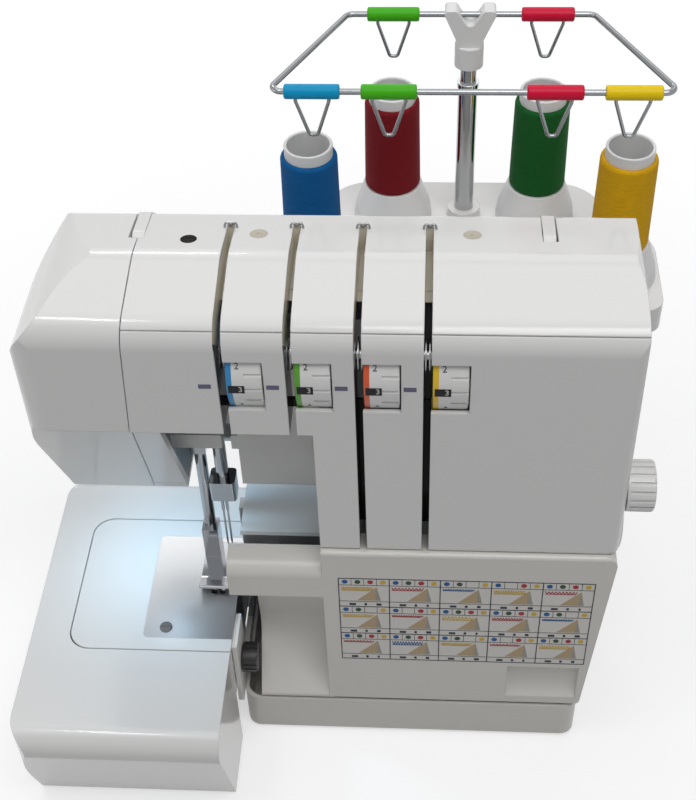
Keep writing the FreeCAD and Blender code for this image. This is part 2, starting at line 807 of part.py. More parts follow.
def make_handle():
    pivot = (depth(handle_pivot_depth), d.handle_pivot_z)
    bar = (depth(handle_bar_depth), d.handle_bar_z)
    half = d.handle_bar / 2
    end = half * 0.9
    side = [
        (pivot[0] - half, pivot[1] - half, end), (bar[0] - half, bar[1] - half, 2),
        (bar[0] + half, bar[1] - half, 4), (bar[0] + half, bar[1] + half, 4),
        (depth(ledge_depth), d.ledge_top - d.free_gap, 4), (pivot[0] - half, pivot[1] + half, end),
    ]
    arms = [padded(f"HandleArm{i}", "YZ", side, x, x + d.handle_arm)
            for i, x in enumerate((d.handle_left, d.handle_right - d.handle_arm))]
    grip = padded("HandleGrip", "YZ", [
        (bar[0] - half, bar[1] - half, 2), (bar[0] + half, bar[1] - half, 4),
        (bar[0] + half, bar[1] + half, 4), (bar[0] - half, bar[1] + half, 4),
    ], d.handle_left, d.handle_right)
    pins = [rod(f"HandlePin{i}", "X", (x, *pivot), d.handle_pin_radius, d.handle_pin_length)
            for i, x in enumerate((d.handle_left + d.handle_arm,
                                   d.handle_right - d.handle_arm - d.handle_pin_length))]
    piece("carry_handle", fuse("CarryHandle", *arms, grip, *pins))


make_handle()


def arm_plan(inset, right):
    """Plan of the free arm, or of the room left for it."""
    return [
        (d.arm_left + inset, depth(d.arm_front) + inset, d.arm_round),
        (right, depth(d.arm_front) + inset, 0),
        (right, depth(d.arm_rear) - inset, 0),
        (d.arm_left + inset, depth(d.arm_rear) - inset, d.arm_round),
    ]


def make_bed():
    arm = padded("ArmOuter", "XY", arm_plan(0, d.bed_right), d.arm_bottom, d.bed_z)
    arm_room = padded("ArmInner", "XY", arm_plan(d.wall, d.bed_right + 1), d.arm_bottom + d.wall,
                      d.bed_z - d.wall)
    plate_plan = [
        (d.plate_left, depth(d.plate_front), 3), (d.bed_right, depth(d.plate_front), 0),
        (d.bed_right, depth(d.plate_rear), 0), (d.plate_left, depth(d.plate_rear), 3),
    ]
    seat = padded("PlateSeat", "XY", plate_plan, d.bed_z - d.plate_thick, d.bed_z + 1)
    well = box("PlateWell", (d.plate_left + d.plate_seat, d.bed_right + 1),
               span(d.plate_front + d.plate_seat, d.plate_rear - d.plate_seat),
               (d.arm_bottom + d.wall, d.bed_z))
    knife_slot = box("ArmKnifeSlot", (d.bed_right - d.knife_thick - d.free_gap, d.bed_right + 1),
                     span(d.knife_front - d.free_gap, d.knife_front + d.knife_width + d.free_gap),
                     (d.arm_bottom - 1, d.arm_bottom + d.wall + 1))
    piece("free_arm", cut("FreeArm", arm, arm_room, seat, well, knife_slot))

    plate = padded("PlateBlank", "XY", plate_plan, d.bed_z - d.plate_thick, d.bed_z)
    through = (d.bed_z - d.plate_thick - 1, d.bed_z + 1)
    holes = [box(f"FeedSlot{i}", about(x, d.feed_bar / 2 + d.free_gap),
                 span(d.feed_front - d.feed_travel - 1, rear + d.feed_travel + 1), through)
             for i, (x, rear) in enumerate(feed_bars())]
    holes.append(box("NeedleSlot", about(d.needle_x, d.needle_pitch / 2 + 1.4),
                     about(depth(d.needle_depth - d.needle_forward), 2.2), through))
    holes.append(box("KnifeNotch", (d.bed_right - d.knife_thick - d.free_gap, d.bed_right + 1),
                     span(d.knife_front - d.free_gap, d.knife_front + d.knife_width + d.free_gap),
                     through))
    piece("needle_plate", cut("NeedlePlate", plate, *holes))

    side = [
        (depth(d.bed_front), d.bed_z, d.bed_edge_round), (depth(d.bed_rear), d.bed_z, d.edge_round),
        (depth(d.bed_rear), d.bed_bottom, 0), (depth(d.bed_front + d.bed_undercut), d.bed_bottom, 0),
    ]
    inner_side = [
        (depth(d.bed_front) + d.wall, d.bed_z - d.wall, d.bed_edge_round - d.wall),
        (depth(d.bed_rear) - d.wall, d.bed_z - d.wall, 1),
        (depth(d.bed_rear) - d.wall, d.bed_bottom - 1, 0),
        (depth(d.bed_front + d.bed_undercut) + d.wall, d.bed_bottom - 1, 0),
    ]

    def bed_plan(inset):
        return [
            (d.bed_left + inset, depth(d.bed_front) + inset, d.bed_corner_round - inset),
            (d.bed_right - inset, depth(d.bed_front) + inset, 0),
            (d.bed_right - inset, depth(d.bed_rear) - inset, 0),
            (d.bed_left + inset, depth(d.bed_rear) - inset, d.arm_round),
        ]

    outer = common("TableOuter", padded("TableSide", "YZ", side, d.bed_left, d.bed_right),
                   padded("TablePlan", "XY", bed_plan(as_size(0)), 0, d.bed_z + 1))
    hollow = common("TableHollow", padded("TableInnerSide", "YZ", inner_side, d.bed_left, d.bed_right),
                    padded("TableInnerPlan", "XY", bed_plan(d.wall), 0, d.bed_z + 1))
    arm_gap = d.free_gap
    keep_off = padded("TableKeepOff", "XY", arm_plan(-arm_gap - d.wall, d.bed_right + 1), 0, d.bed_z + 1)
    notch = padded("TableNotch", "XY", arm_plan(-arm_gap, d.bed_right + 1), 0, d.bed_z + 1)
    piece("extension_table", cut("ExtensionTable", outer, cut("TableCavity", hollow, keep_off), notch))


def feed_bars():
    """X of each row of feed teeth, and the depth of its rear end."""
    left = d.needle_x - 9
    return [(left, d.feed_rear), (d.needle_x - 4.4, d.needle_depth - 12)]


make_bed()


def make_needle_parts():
    needle = (d.needle_x, depth(d.needle_depth))
    clamp_top = d.clamp_z + d.clamp_height
    piece("needle_bar", rod("NeedleBar", "Z", (*needle, d.clamp_z + 2), d.needle_bar_radius,
                            d.needle_bar_top - d.clamp_z - 2))
    block = padded("ClampBlock", "XY", [
        (d.needle_x - 7, needle[1] - 6, 2), (d.needle_x + 7, needle[1] - 6, 2),
        (d.needle_x + 7, needle[1] + 6, 2), (d.needle_x - 7, needle[1] + 6, 2),
    ], d.clamp_z, clamp_top)
    bar_hole = rod("ClampBore", "Z", (*needle, d.clamp_z + 2), d.needle_bar_radius, d.clamp_height)
    needle_xs = [d.needle_x - d.needle_pitch / 2, d.needle_x + d.needle_pitch / 2]
    needle_holes = [rod(f"NeedleHole{i}", "Z", (x, needle[1] - d.needle_forward, d.clamp_z - 1),
                        d.needle_radius, 9)
                    for i, x in enumerate(needle_xs)]
    piece("needle_clamp", cut("NeedleClamp", block, bar_hole, *needle_holes))
    needles = []
    for i, x in enumerate(needle_xs):
        length = d.clamp_z + 8 - d.needle_tip_z
        needles.append(turned(f"Needle{i}", [
            (0, 0, 0), (d.needle_radius * 0.6, 5, 0), (d.needle_radius * 0.6, length - 18, 0),
            (d.needle_radius, length - 15, 0), (d.needle_radius, length, 0), (0, length, 0),
        ], x, needle[1] - d.needle_forward, d.needle_tip_z, "Z"))
    piece("needles", group("Needles", *needles))

    foot_low = d.bed_z + d.foot_gap
    ankle_top = foot_low + 26
    bar = (d.presser_x, depth(d.presser_depth))
    piece("presser_bar", fuse(
        "PresserBar",
        rod("PresserRod", "Z", (*bar, foot_low + 12), d.presser_radius, d.presser_top - foot_low - 12),
        box("PresserCollar", about(d.presser_x, 4), (bar[1] - 4, bar[1] + 8),
            about(d.bracket_z - 11.5, 4))))
    sole = padded("FootSole", "YZ", [
        (depth(d.foot_front), foot_low + 5, 1), (depth(d.foot_front + 9), foot_low, 10),
        (depth(d.foot_rear), foot_low, 1), (depth(d.foot_rear), foot_low + d.foot_sole, 1),
        (depth(d.foot_front + 9), foot_low + d.foot_sole, 8), (depth(d.foot_front), foot_low + 7.5, 1),
    ], d.foot_left, d.foot_right)
    ankle = box("FootAnkle", about(d.presser_x, 4.5), about(bar[1], 5),
                (foot_low + d.foot_sole - 1, ankle_top))
    eye = box("FootSlot", about(d.needle_x, d.needle_pitch / 2 + 1.6),
              (needle[1] - 8, needle[1] + 4), (foot_low - 1, foot_low + 9))
    stem_hole = rod("FootBore", "Z", (*bar, foot_low + 12), d.presser_radius, 40)
    piece("presser_foot", cut("PresserFoot", fuse("FootBody", sole, ankle), eye, stem_hole))

    lever = padded("LifterArm", "YZ", [
        (depth(67), d.bracket_z - 17, 4), (depth(d.body_depth + 32), d.bracket_z - 20, 3),
        (depth(d.body_depth + 36), d.bracket_z - 13, 3), (depth(d.body_depth - 6), d.bracket_z - 10, 6),
        (depth(67), d.bracket_z - 7, 4),
    ], d.presser_x - 3, d.presser_x + 3)
    pivot_rod = rod("LifterPin", "X", (d.presser_x - 8, depth(72), d.bracket_z - 12), 2.5, 16)
    piece("presser_lifter", fuse("PresserLifter", lever, pivot_rod))


make_needle_parts()


def make_feed():
    rows = []
    teeth = 5
    for i, (x, rear) in enumerate(feed_bars()):
        low = d.bed_z - 11
        back = depth(rear)
        shape = [(depth(d.feed_front), low, 0), (back, low, 0)]
        count = teeth * (2 if i == 0 else 1)
        step = (back - depth(d.feed_front)) / count
        for n in range(count):
            shape.append((back - step * n, d.feed_top, 0))
            shape.append((back - step * (n + 1), d.feed_top - 1.2, 0))
        rows.append(padded(f"FeedRow{i}", "YZ", shape, x - d.feed_bar / 2, x + d.feed_bar / 2))
    carrier = box("FeedBar", (d.needle_x - 12, d.needle_x - 3), span(d.feed_front, d.needle_depth - 5),
                  (d.bed_z - 18, d.bed_z - 11))
    piece("feed_dogs", fuse("FeedDogs", carrier, *rows))


make_feed()


def pivot_pin(name, x, front, z):
    """Pin from a lever's hub back into the frame's upright plate."""
    return rod(name, "Y", (x, depth(front), z), d.pivot_radius, d.lug_front + d.lug_thick - 1 - front)


def lever_hub(name, x, front, z, thick):
    return rod(name, "Y", (x, depth(front), z), d.hub_radius, thick)


def make_loopers():
    blade_y = span(d.lower_looper_front, d.lower_looper_front + d.looper_thick)
    x, z = d.lower_looper_x, d.lower_looper_z
    blade = padded("LowerBlade", "XZ", [
        (x - 6, z, 0), (x + 6, z, 0), (x + 5, z + 40, 3), (x - 3, d.bed_z - 4.5, 5),
        (d.needle_x - 0.5, d.bed_z - 6, 0.3), (x - 9, d.bed_z - 12, 6),
    ], *blade_y)
    piece("lower_looper",
          fuse("LowerLooper", blade, lever_hub("LowerHub", x, d.lower_looper_front, z, d.looper_thick),
                               pivot_pin("LowerPin", x, d.lower_looper_front, z)))
    x, z = d.upper_looper_x, d.upper_looper_z
    blade = padded("UpperBlade", "XZ", [
        (x, z - 6, 0), (x, z + 6, 0), (x - 38, z - 2, 5), (d.bed_right + 4.5, z + 12, 0.3),
        (d.bed_right + 3, z + 12, 0.3), (x - 47, z - 10, 8), (x - 30, z - 11, 4),
    ], *span(d.upper_looper_front, d.upper_looper_front + d.looper_thick))
    piece("upper_looper", fuse("UpperLooper", blade,
                               lever_hub("UpperHub", x, d.upper_looper_front, z, d.looper_thick),
                               pivot_pin("UpperPin", x, d.upper_looper_front, z)))


def make_knives():
    front = d.knife_front
    blade_y = span(front, front + d.knife_width)
    blade = box("KnifeBlade", (d.knife_x, d.knife_x + d.knife_thick), blade_y,
                (d.bed_z + 2, d.bed_z + 24))
    x, z = d.knife_pivot_x, d.knife_pivot_z
    arm = padded("KnifeArm", "XZ", [
        (d.knife_x + d.knife_thick, d.bed_z + 10, 0), (x - 12, z - 9, 10), (x, z - 6, 0),
        (x, z + 6, 0), (x - 14, z + 3, 10), (d.knife_x + d.knife_thick, d.bed_z + 24, 2),
    ], *blade_y)
    piece("upper_knife", fuse("UpperKnife", blade, arm, lever_hub("KnifeHub", x, front, z, d.knife_width),
                              pivot_pin("KnifePin", x, front, z)))
    piece("lower_knife", box("LowerKnife", (d.bed_right - d.knife_thick, d.bed_right), blade_y,
                             (d.tray_top + 4, d.bed_z - 0.3)))


make_loopers()
make_knives()


def make_frame():
    """Cast frame: base, upright plate for the loopers, column, beam and needle bar brackets."""
    lug = span(d.lug_front, d.lug_front + d.lug_thick)
    base_z = (d.tray_bottom + d.tray_floor, d.frame_base_z)
    base = box("FrameBase", (d.lower_left + 7, d.belt_seam_x - 4), span(d.guard_depth, frame_rear),
               base_z)
    upright = box("LooperPlate", (d.bed_right, d.column_x + 8), lug, (d.tray_top + 2, d.lug_top))
    upright_foot = box("LooperPlateFoot", (d.lower_left + 7, d.column_x + 8), lug,
                       (d.frame_base_z - 1, d.tray_top + 3))
    arm_flange = box("ArmFlange", (d.bed_right, d.bed_right + d.wall),
                     span(d.arm_front + 4, d.lug_front + 1),
                     (d.tray_top + 2, d.bed_z - d.plate_thick))
    flange_window = box("FlangeWindow", (d.bed_right - 1, d.bed_right + d.wall + 1),
                        span(17, d.lug_front),
                        (d.tray_top + 10, as_size(FAR)))
    column = box("Column", (d.column_x, d.column_x + d.column_width), span(column_front, frame_rear),
                 (d.frame_base_z - 1, d.beam_top))
    column_tie = box("ColumnTie", (d.column_x, d.column_x + 8), span(d.lug_front + 1, column_front + 1),
                     (d.frame_base_z - 1, d.lug_top))
    bearing = box("BearingStand", (d.bearing_x, d.bearing_x + d.bearing_width),
                  about(depth(shaft_depth), 12), (d.frame_base_z - 1, d.shaft_z + 12))
    cradle = box("MotorCradle", (d.motor_x + 6, d.motor_x + d.motor_length - 6),
                 about(depth(shaft_depth), 15), (d.frame_base_z - 1, d.motor_z - 10))
    beam = box("Beam", (d.presser_x - 12, d.column_x + d.column_width),
               span(beam_rear - d.beam_deep, beam_rear),
               (d.beam_z, d.beam_top))
    across = (d.presser_x - 11, d.needle_x + 13)
    brackets = [box(f"BarBracket{i}", across, span(d.guard_depth, beam_rear), (z, z + 10))
                for i, z in enumerate((d.bracket_z, d.beam_top - 10))]
    web = box("BarWeb", across, span(beam_rear - 10, beam_rear), (d.bracket_z, d.beam_top))
    guard = box("NeedleGuard", (across[1] - 1, d.guard_right),
                span(d.guard_depth, d.guard_depth + d.wall),
                (d.throat_top + 1, d.beam_top))
    guard_tie = box("GuardTie", (d.guard_right - 10, d.guard_right - 4),
                    span(d.guard_depth + 1, beam_rear - d.beam_deep + 1), (d.beam_z, d.beam_top))
    ears = [box(f"LifterEar{i}", (x, x + 4), span(66, 78), (d.bracket_z - 18, d.bracket_z + 1))
            for i, x in enumerate((d.presser_x - 8, d.presser_x + 4))]
    pivots = [rod(f"PivotBore{i}", "Y", (x, depth(d.lug_front - 1), z), d.pivot_radius + d.fit_gap,
                  d.lug_thick + 2)
              for i, (x, z) in enumerate(((d.lower_looper_x, d.lower_looper_z),
                                          (d.upper_looper_x, d.upper_looper_z),
                                          (d.knife_pivot_x, d.knife_pivot_z)))]
    bores = pivots + [
        rod("NeedleBarBore", "Z", (d.needle_x, depth(d.needle_depth), d.bracket_z - 1),
            d.needle_bar_radius + d.fit_gap, 80),
        rod("PresserBore", "Z", (d.presser_x, depth(d.presser_depth), d.bracket_z - 1),
            d.presser_radius + d.fit_gap, 80),
        rod("LifterBore", "X", (d.presser_x - 9, depth(72), d.bracket_z - 12), 2.5 + d.fit_gap, 18),
        box("LifterNotch", about(d.presser_x, 4), span(64, beam_rear + 2),
            (d.bracket_z - 1, d.bracket_z + 12)),
        rod("ShaftBore", "X", (d.column_x - 1, depth(shaft_depth), d.shaft_z), d.bush_radius, 120),
        rod("MotorShaftHole", "X", (d.bearing_x - 1, depth(shaft_depth), d.motor_z), d.shaft_radius + 1.5,
            d.bearing_width + 2),
        rod("MotorSeat", "X", (d.motor_x, depth(shaft_depth), d.motor_z), d.motor_radius, d.motor_length),
        rod("KnobBore", "X", (d.bed_right - 1, depth(d.width_knob_depth), d.width_knob_z),
            d.control_shaft + d.fit_gap, 10),
        flange_window,
    ]
    piece("machine_frame", cut("MachineFrame", fuse(
        "FrameCasting", base, upright, upright_foot, arm_flange, column, column_tie, bearing, cradle,
        beam,
        *brackets, web, guard, guard_tie, *ears), *bores))
    bushes = []
    for i, (x, width) in enumerate(((d.column_x, d.column_width), (d.bearing_x, d.bearing_width))):
        ring = rod(f"Bush{i}", "X", (x, depth(shaft_depth), d.shaft_z), d.bush_radius, width)
        hole = rod(f"BushHole{i}", "X", (x - 1, depth(shaft_depth), d.shaft_z),
                   d.shaft_radius + d.fit_gap, width + 2)
        bushes.append(cut(f"BushRing{i}", ring, hole))
    piece("shaft_bushes", group("ShaftBushes", *bushes))


make_frame()


def make_drive():
    axis = (depth(shaft_depth), d.shaft_z)
    wheel_x = d.tower_right + d.tower_flare + d.free_gap
    shaft_end = wheel_x + d.wheel_width - 3
    piece("main_shaft",
          rod("MainShaft", "X", (d.column_x - 12, *axis), d.shaft_radius, shaft_end - d.column_x + 12))
    pulley = turned("DrivePulley", [
        (d.shaft_radius, 0, 0), (d.pulley_radius + 2, 0, 0), (d.pulley_radius + 2, 1.2, 0),
        (d.pulley_radius, 1.2, 0), (d.pulley_radius, d.pulley_width - 1.2, 0),
        (d.pulley_radius + 2, d.pulley_width - 1.2, 0), (d.pulley_radius + 2, d.pulley_width, 0),
        (d.shaft_radius, d.pulley_width, 0),
    ], d.pulley_x, *axis, "X")
    piece("drive_pulley", pulley)
    hub_in = 10
    wheel = turned("Handwheel", [
        (d.shaft_radius, -hub_in, 0), (d.bush_radius, -hub_in, 0), (d.bush_radius, 0, 0),
        (d.wheel_radius - 2, 0, 0), (d.wheel_radius, 2, 0), (d.wheel_radius, d.wheel_width - 2, 0),
        (d.wheel_radius - 2, d.wheel_width, 0), (d.wheel_radius - 7, d.wheel_width, 2),
        (d.wheel_radius - 10, d.wheel_width - 3, 2), (d.bush_radius, d.wheel_width - 3, 0),
        (d.bush_radius, d.wheel_width, 1), (0, d.wheel_width, 0), (0, d.wheel_width - 3, 0),
        (d.shaft_radius, d.wheel_width - 3, 0),
    ], wheel_x, *axis, "X")
    tie_ribs(wheel, d.wheel_radius, 0, d.wheel_width, 24, 3 * d.rib, d.rib / 2)
    piece("handwheel", wheel)

    motor_axis = (depth(shaft_depth), d.motor_z)
    can = turned("MotorCan", [
        (0, 0, 0), (d.motor_radius - 3, 0, 2), (d.motor_radius, 5, 2),
        (d.motor_radius, d.motor_length - 5, 2),
        (d.motor_radius - 3, d.motor_length, 2), (d.shaft_radius, d.motor_length, 0),
        (d.shaft_radius, d.motor_length + 3, 0), (d.control_shaft + d.fit_gap, d.motor_length + 3, 0),
        (d.control_shaft + d.fit_gap, d.motor_length - 20, 0), (0, d.motor_length - 20, 0),
    ], d.motor_x, *motor_axis, "X")
    piece("motor", can)
    shaft_from = d.motor_x + d.motor_length - 19
    little = turned("MotorPulley", [
        (0, 0, 0), (d.control_shaft, 0, 0), (d.control_shaft, d.pulley_x - shaft_from, 0),
        (d.motor_pulley_radius + 2, d.pulley_x - shaft_from, 0),
        (d.motor_pulley_radius + 2, d.pulley_x - shaft_from + 1.2, 0),
        (d.motor_pulley_radius, d.pulley_x - shaft_from + 1.2, 0),
        (d.motor_pulley_radius, d.pulley_x - shaft_from + d.pulley_width - 1.2, 0),
        (d.motor_pulley_radius + 2, d.pulley_x - shaft_from + d.pulley_width - 1.2, 0),
        (d.motor_pulley_radius + 2, d.pulley_x - shaft_from + d.pulley_width, 0),
        (0, d.pulley_x - shaft_from + d.pulley_width, 0),
    ], shaft_from, *motor_axis, "X")
    piece("motor_pulley", little)

    belt_x = (d.pulley_x + 1.2 + d.free_gap / 2, d.pulley_x + d.pulley_width - 1.2 - d.free_gap / 2)
    loop = belt_loop("BeltOuter", d.belt_thick + d.free_gap / 2, belt_x)
    inner = belt_loop("BeltInner", d.free_gap / 2, (belt_x[0] - 1, belt_x[1] + 1))
    piece("drive_belt", cut("DriveBelt", loop, inner))


def belt_loop(name, grow, across):
    """Solid loop round both pulleys: two rounds and the tangent block between them."""
    y = depth(shaft_depth)
    big, small = d.pulley_radius + grow, d.motor_pulley_radius + grow
    gap = d.shaft_z - d.motor_z
    lean = (d.pulley_radius - d.motor_pulley_radius) / gap
    flat = Size(math.sqrt(1 - lean.value ** 2), f"sqrt(1 - {lean.text} ^ 2)")
    rounds = [rod(f"{name}{z.text[-4:-1]}", "X", (across[0], y, z), radius, across[1] - across[0])
              for z, radius in ((d.shaft_z, big), (d.motor_z, small))]
    runs = padded(name + "Runs", "YZ", [
        (y - small * flat, d.motor_z - small * lean, 0), (y + small * flat, d.motor_z - small * lean, 0),
        (y + big * flat, d.shaft_z - big * lean, 0), (y - big * flat, d.shaft_z - big * lean, 0),
    ], *across)
    return fuse(name, *rounds, runs)


make_drive()


def knob(radius, width, stem, corner):
    """Corners of a round dial with a stem behind it, and its grip."""
    return [
        (0, -stem, 0), (d.control_shaft, -stem, 0), (d.control_shaft, 0, 0), (radius, 0, 0.5),
        (radius, width, corner), (0, width, 0),
    ]


def make_controls():
    out = d.tower_right + d.tower_flare + d.free_gap
    for label, name, radius, width, back, z in (
            ("stitch_length_dial", "LengthDial", d.length_dial_radius, d.length_dial_width,
             d.length_dial_depth, d.length_dial_z),
            ("differential_dial", "FeedDial", d.feed_dial_radius, d.feed_dial_width,
             d.feed_dial_depth, d.feed_dial_z)):
        dial = turned(name, knob(radius, width, 12, 1.5), out, depth(back), z, "X")
        tie_ribs(dial, radius, 1.5, width, 18, d.rib * 1.2, d.rib * 0.6)
        piece(label, dial)
    start = d.bed_right + d.wall + d.free_gap
    width_knob = turned("WidthKnob",
                        knob(d.width_knob_radius, d.pocket_left - 1 - start, 10, 1),
                        start, depth(d.width_knob_depth), d.width_knob_z, "X")
    tie_ribs(width_knob, d.width_knob_radius, 1, d.pocket_left - 1 - start, 16, d.rib, d.rib / 2)
    piece("cutting_width_knob", width_knob)

    face = d.base_right + 4.5
    y = (depth(d.inlet_front), depth(d.inlet_front + d.inlet_width))
    block = box("InletBlock", (d.base_right - 8, face), y, (d.inlet_z, d.inlet_z + d.inlet_height))
    socket = box("InletSocket", (d.base_right - 5, face + 1), (y[0] + 4, y[1] - 4),
                 (d.inlet_z + 5, d.inlet_z + 25))
    rocker_room = box("RockerRoom", (d.base_right - 6, face + 1), (y[0] + 6, y[1] - 6),
                      (d.inlet_z + 35, d.inlet_z + 62))
    pins = [box(f"InletPin{i}", (d.base_right - 6, face - 2), about((y[0] + y[1]) / 2 + shift, 1),
                about(d.inlet_z + 15, 3)) for i, shift in enumerate((-5, 5))]
    middle = d.inlet_z + 48.5
    rocker_axis = (d.base_right - 1.5, y[0] + 3, middle)
    rocker_bore = rod("RockerBore", "Y", rocker_axis, d.rocker_pin + d.fit_gap, d.inlet_width - 6)
    piece("power_inlet",
          fuse("PowerInlet", cut("InletHousing", block, socket, rocker_room, rocker_bore), *pins))
    rocker = padded("RockerPad", "XZ", [
        (d.base_right - 3, middle - 8, 0), (d.base_right - 3, middle + 8, 0),
        (face - 0.5, middle + 11, 1),
        (face - 1, middle, 0), (face + 2.5, middle - 11, 1),
    ], y[0] + 6 + d.free_gap, y[1] - 6 - d.free_gap)
    rocker_pin = rod("RockerPin", "Y", rocker_axis, d.rocker_pin, d.inlet_width - 6)
    piece("power_switch", fuse("PowerSwitch", rocker, rocker_pin))


make_controls()


def make_door():
    """Looper cover: chart plate, side and top walls, waste scoop and shoulder beside the needle."""
    front, thick = depth(-d.door_front), d.door_wall
    plate_front = padded("DoorFront", "XZ", [
        (d.tower_left, d.door_bottom, 0), (d.base_right, d.door_bottom, 6),
        (d.door_right, d.door_top, 6), (d.tower_left, d.door_top, 0),
    ], front, depth(d.door_depth))
    plate_side = padded("DoorSide", "YZ", [
        (front, d.door_bottom, 3), (front, d.door_top, 2), (depth(d.door_depth), d.door_top, 0),
        (depth(d.door_depth), d.door_bottom, 0),
    ], d.tower_left, d.door_right + 1)
    plate = common("DoorPlate", plate_front, plate_side)
    plate_room = padded("DoorRoom", "XZ", [
        (d.tower_left + thick, d.door_bottom - 1, 0), (d.base_right - thick, d.door_bottom - 1, 0),
        (d.door_right - thick, d.door_top - thick, 4), (d.tower_left + thick, d.door_top - thick, 0),
    ], front + thick, depth(d.door_depth + 1))
    scoop_side = [
        (front, d.door_bottom, 2.4), (front, d.pocket_bottom, 2),
        (front + d.pocket_depth, d.pocket_bottom + 34, 26),
        (front + d.pocket_depth - 6, d.shoulder_bottom, 6),
        (front, d.shoulder_bottom, 2), (front, d.shoulder_top, 8),
        (front + d.shoulder_depth, d.shoulder_top + 2, 3),
        (front + d.shoulder_depth, d.shoulder_bottom + thick, 0),
        (front + d.pocket_depth - 6 + thick, d.shoulder_bottom + thick, 4),
        (front + d.pocket_depth + thick, d.pocket_bottom + 34, 28),
        (front + thick, d.pocket_bottom - 2, 3),
        (front + thick, d.door_bottom, 0),
    ]
    scoop = padded("DoorScoop", "YZ", scoop_side, d.pocket_left, d.tower_left + thick)
    shoulder = padded("DoorShoulder", "YZ", [
        (front, d.shoulder_bottom, 2), (front, d.shoulder_top, 8),
        (front + d.shoulder_depth, d.shoulder_top + 2, 3),
        (front + d.shoulder_depth, d.shoulder_bottom, 2),
    ], d.door_left, d.pocket_left + 1)
    cheek = padded("DoorCheek", "YZ", [
        (front, d.door_bottom, 2.4), (front, d.shoulder_top, 8),
        (front + d.shoulder_depth, d.shoulder_top + 2, 3),
        (front + d.pocket_depth - 6 + thick, d.shoulder_bottom + thick, 4),
        (front + d.pocket_depth + thick, d.pocket_bottom + 34, 28),
        (front + thick, d.pocket_bottom - 2, 3),
        (front + thick, d.door_bottom, 0),
    ], d.tower_left, d.tower_left + thick)
    thumb_x = (d.door_right - 53, d.door_right - 10)
    pad = box("ThumbPad", thumb_x, (front, front + 8), (d.door_bottom + 6, d.door_bottom + 39))
    thumb = rod("ThumbScoop", "X", (thumb_x[0] + 2, front - 18, d.door_bottom + 22.5), 23, 39)
    knuckle_xs = (d.tower_left + 12, d.tower_left + 60)
    knuckles = [rod(f"Knuckle{i}", "X", (x, depth(d.hinge_depth), d.hinge_z), d.hinge_radius + 2, 10)
                for i, x in enumerate(knuckle_xs)]
    straps = [box(f"KnuckleStrap{i}", (x, x + 10), (front + 1, depth(d.hinge_depth)),
                  about(d.hinge_z, d.hinge_radius + 2))
              for i, x in enumerate(knuckle_xs)]
    heel = box("DoorHeel", (d.tower_left + thick, d.door_right + 1),
               span(d.hinge_depth + 2.5, d.door_depth + 1),
               (d.door_bottom - 1, d.hinge_z + 1))
    pin_bore = rod("DoorBore", "X", (d.lower_left, depth(d.hinge_depth), d.hinge_z),
                   d.hinge_radius + d.fit_gap, 250)
    shell = cut("DoorShell", plate, plate_room, heel)
    piece("looper_cover",
          cut("LooperCover", fuse("DoorBody", shell, scoop, shoulder, cheek, pad, *knuckles, *straps),
                              thumb, pin_bore))
    piece("hinge_pin",
          rod("HingePin", "X", (d.tower_left + 8, depth(d.hinge_depth), d.hinge_z), d.hinge_radius, 82))


make_door()


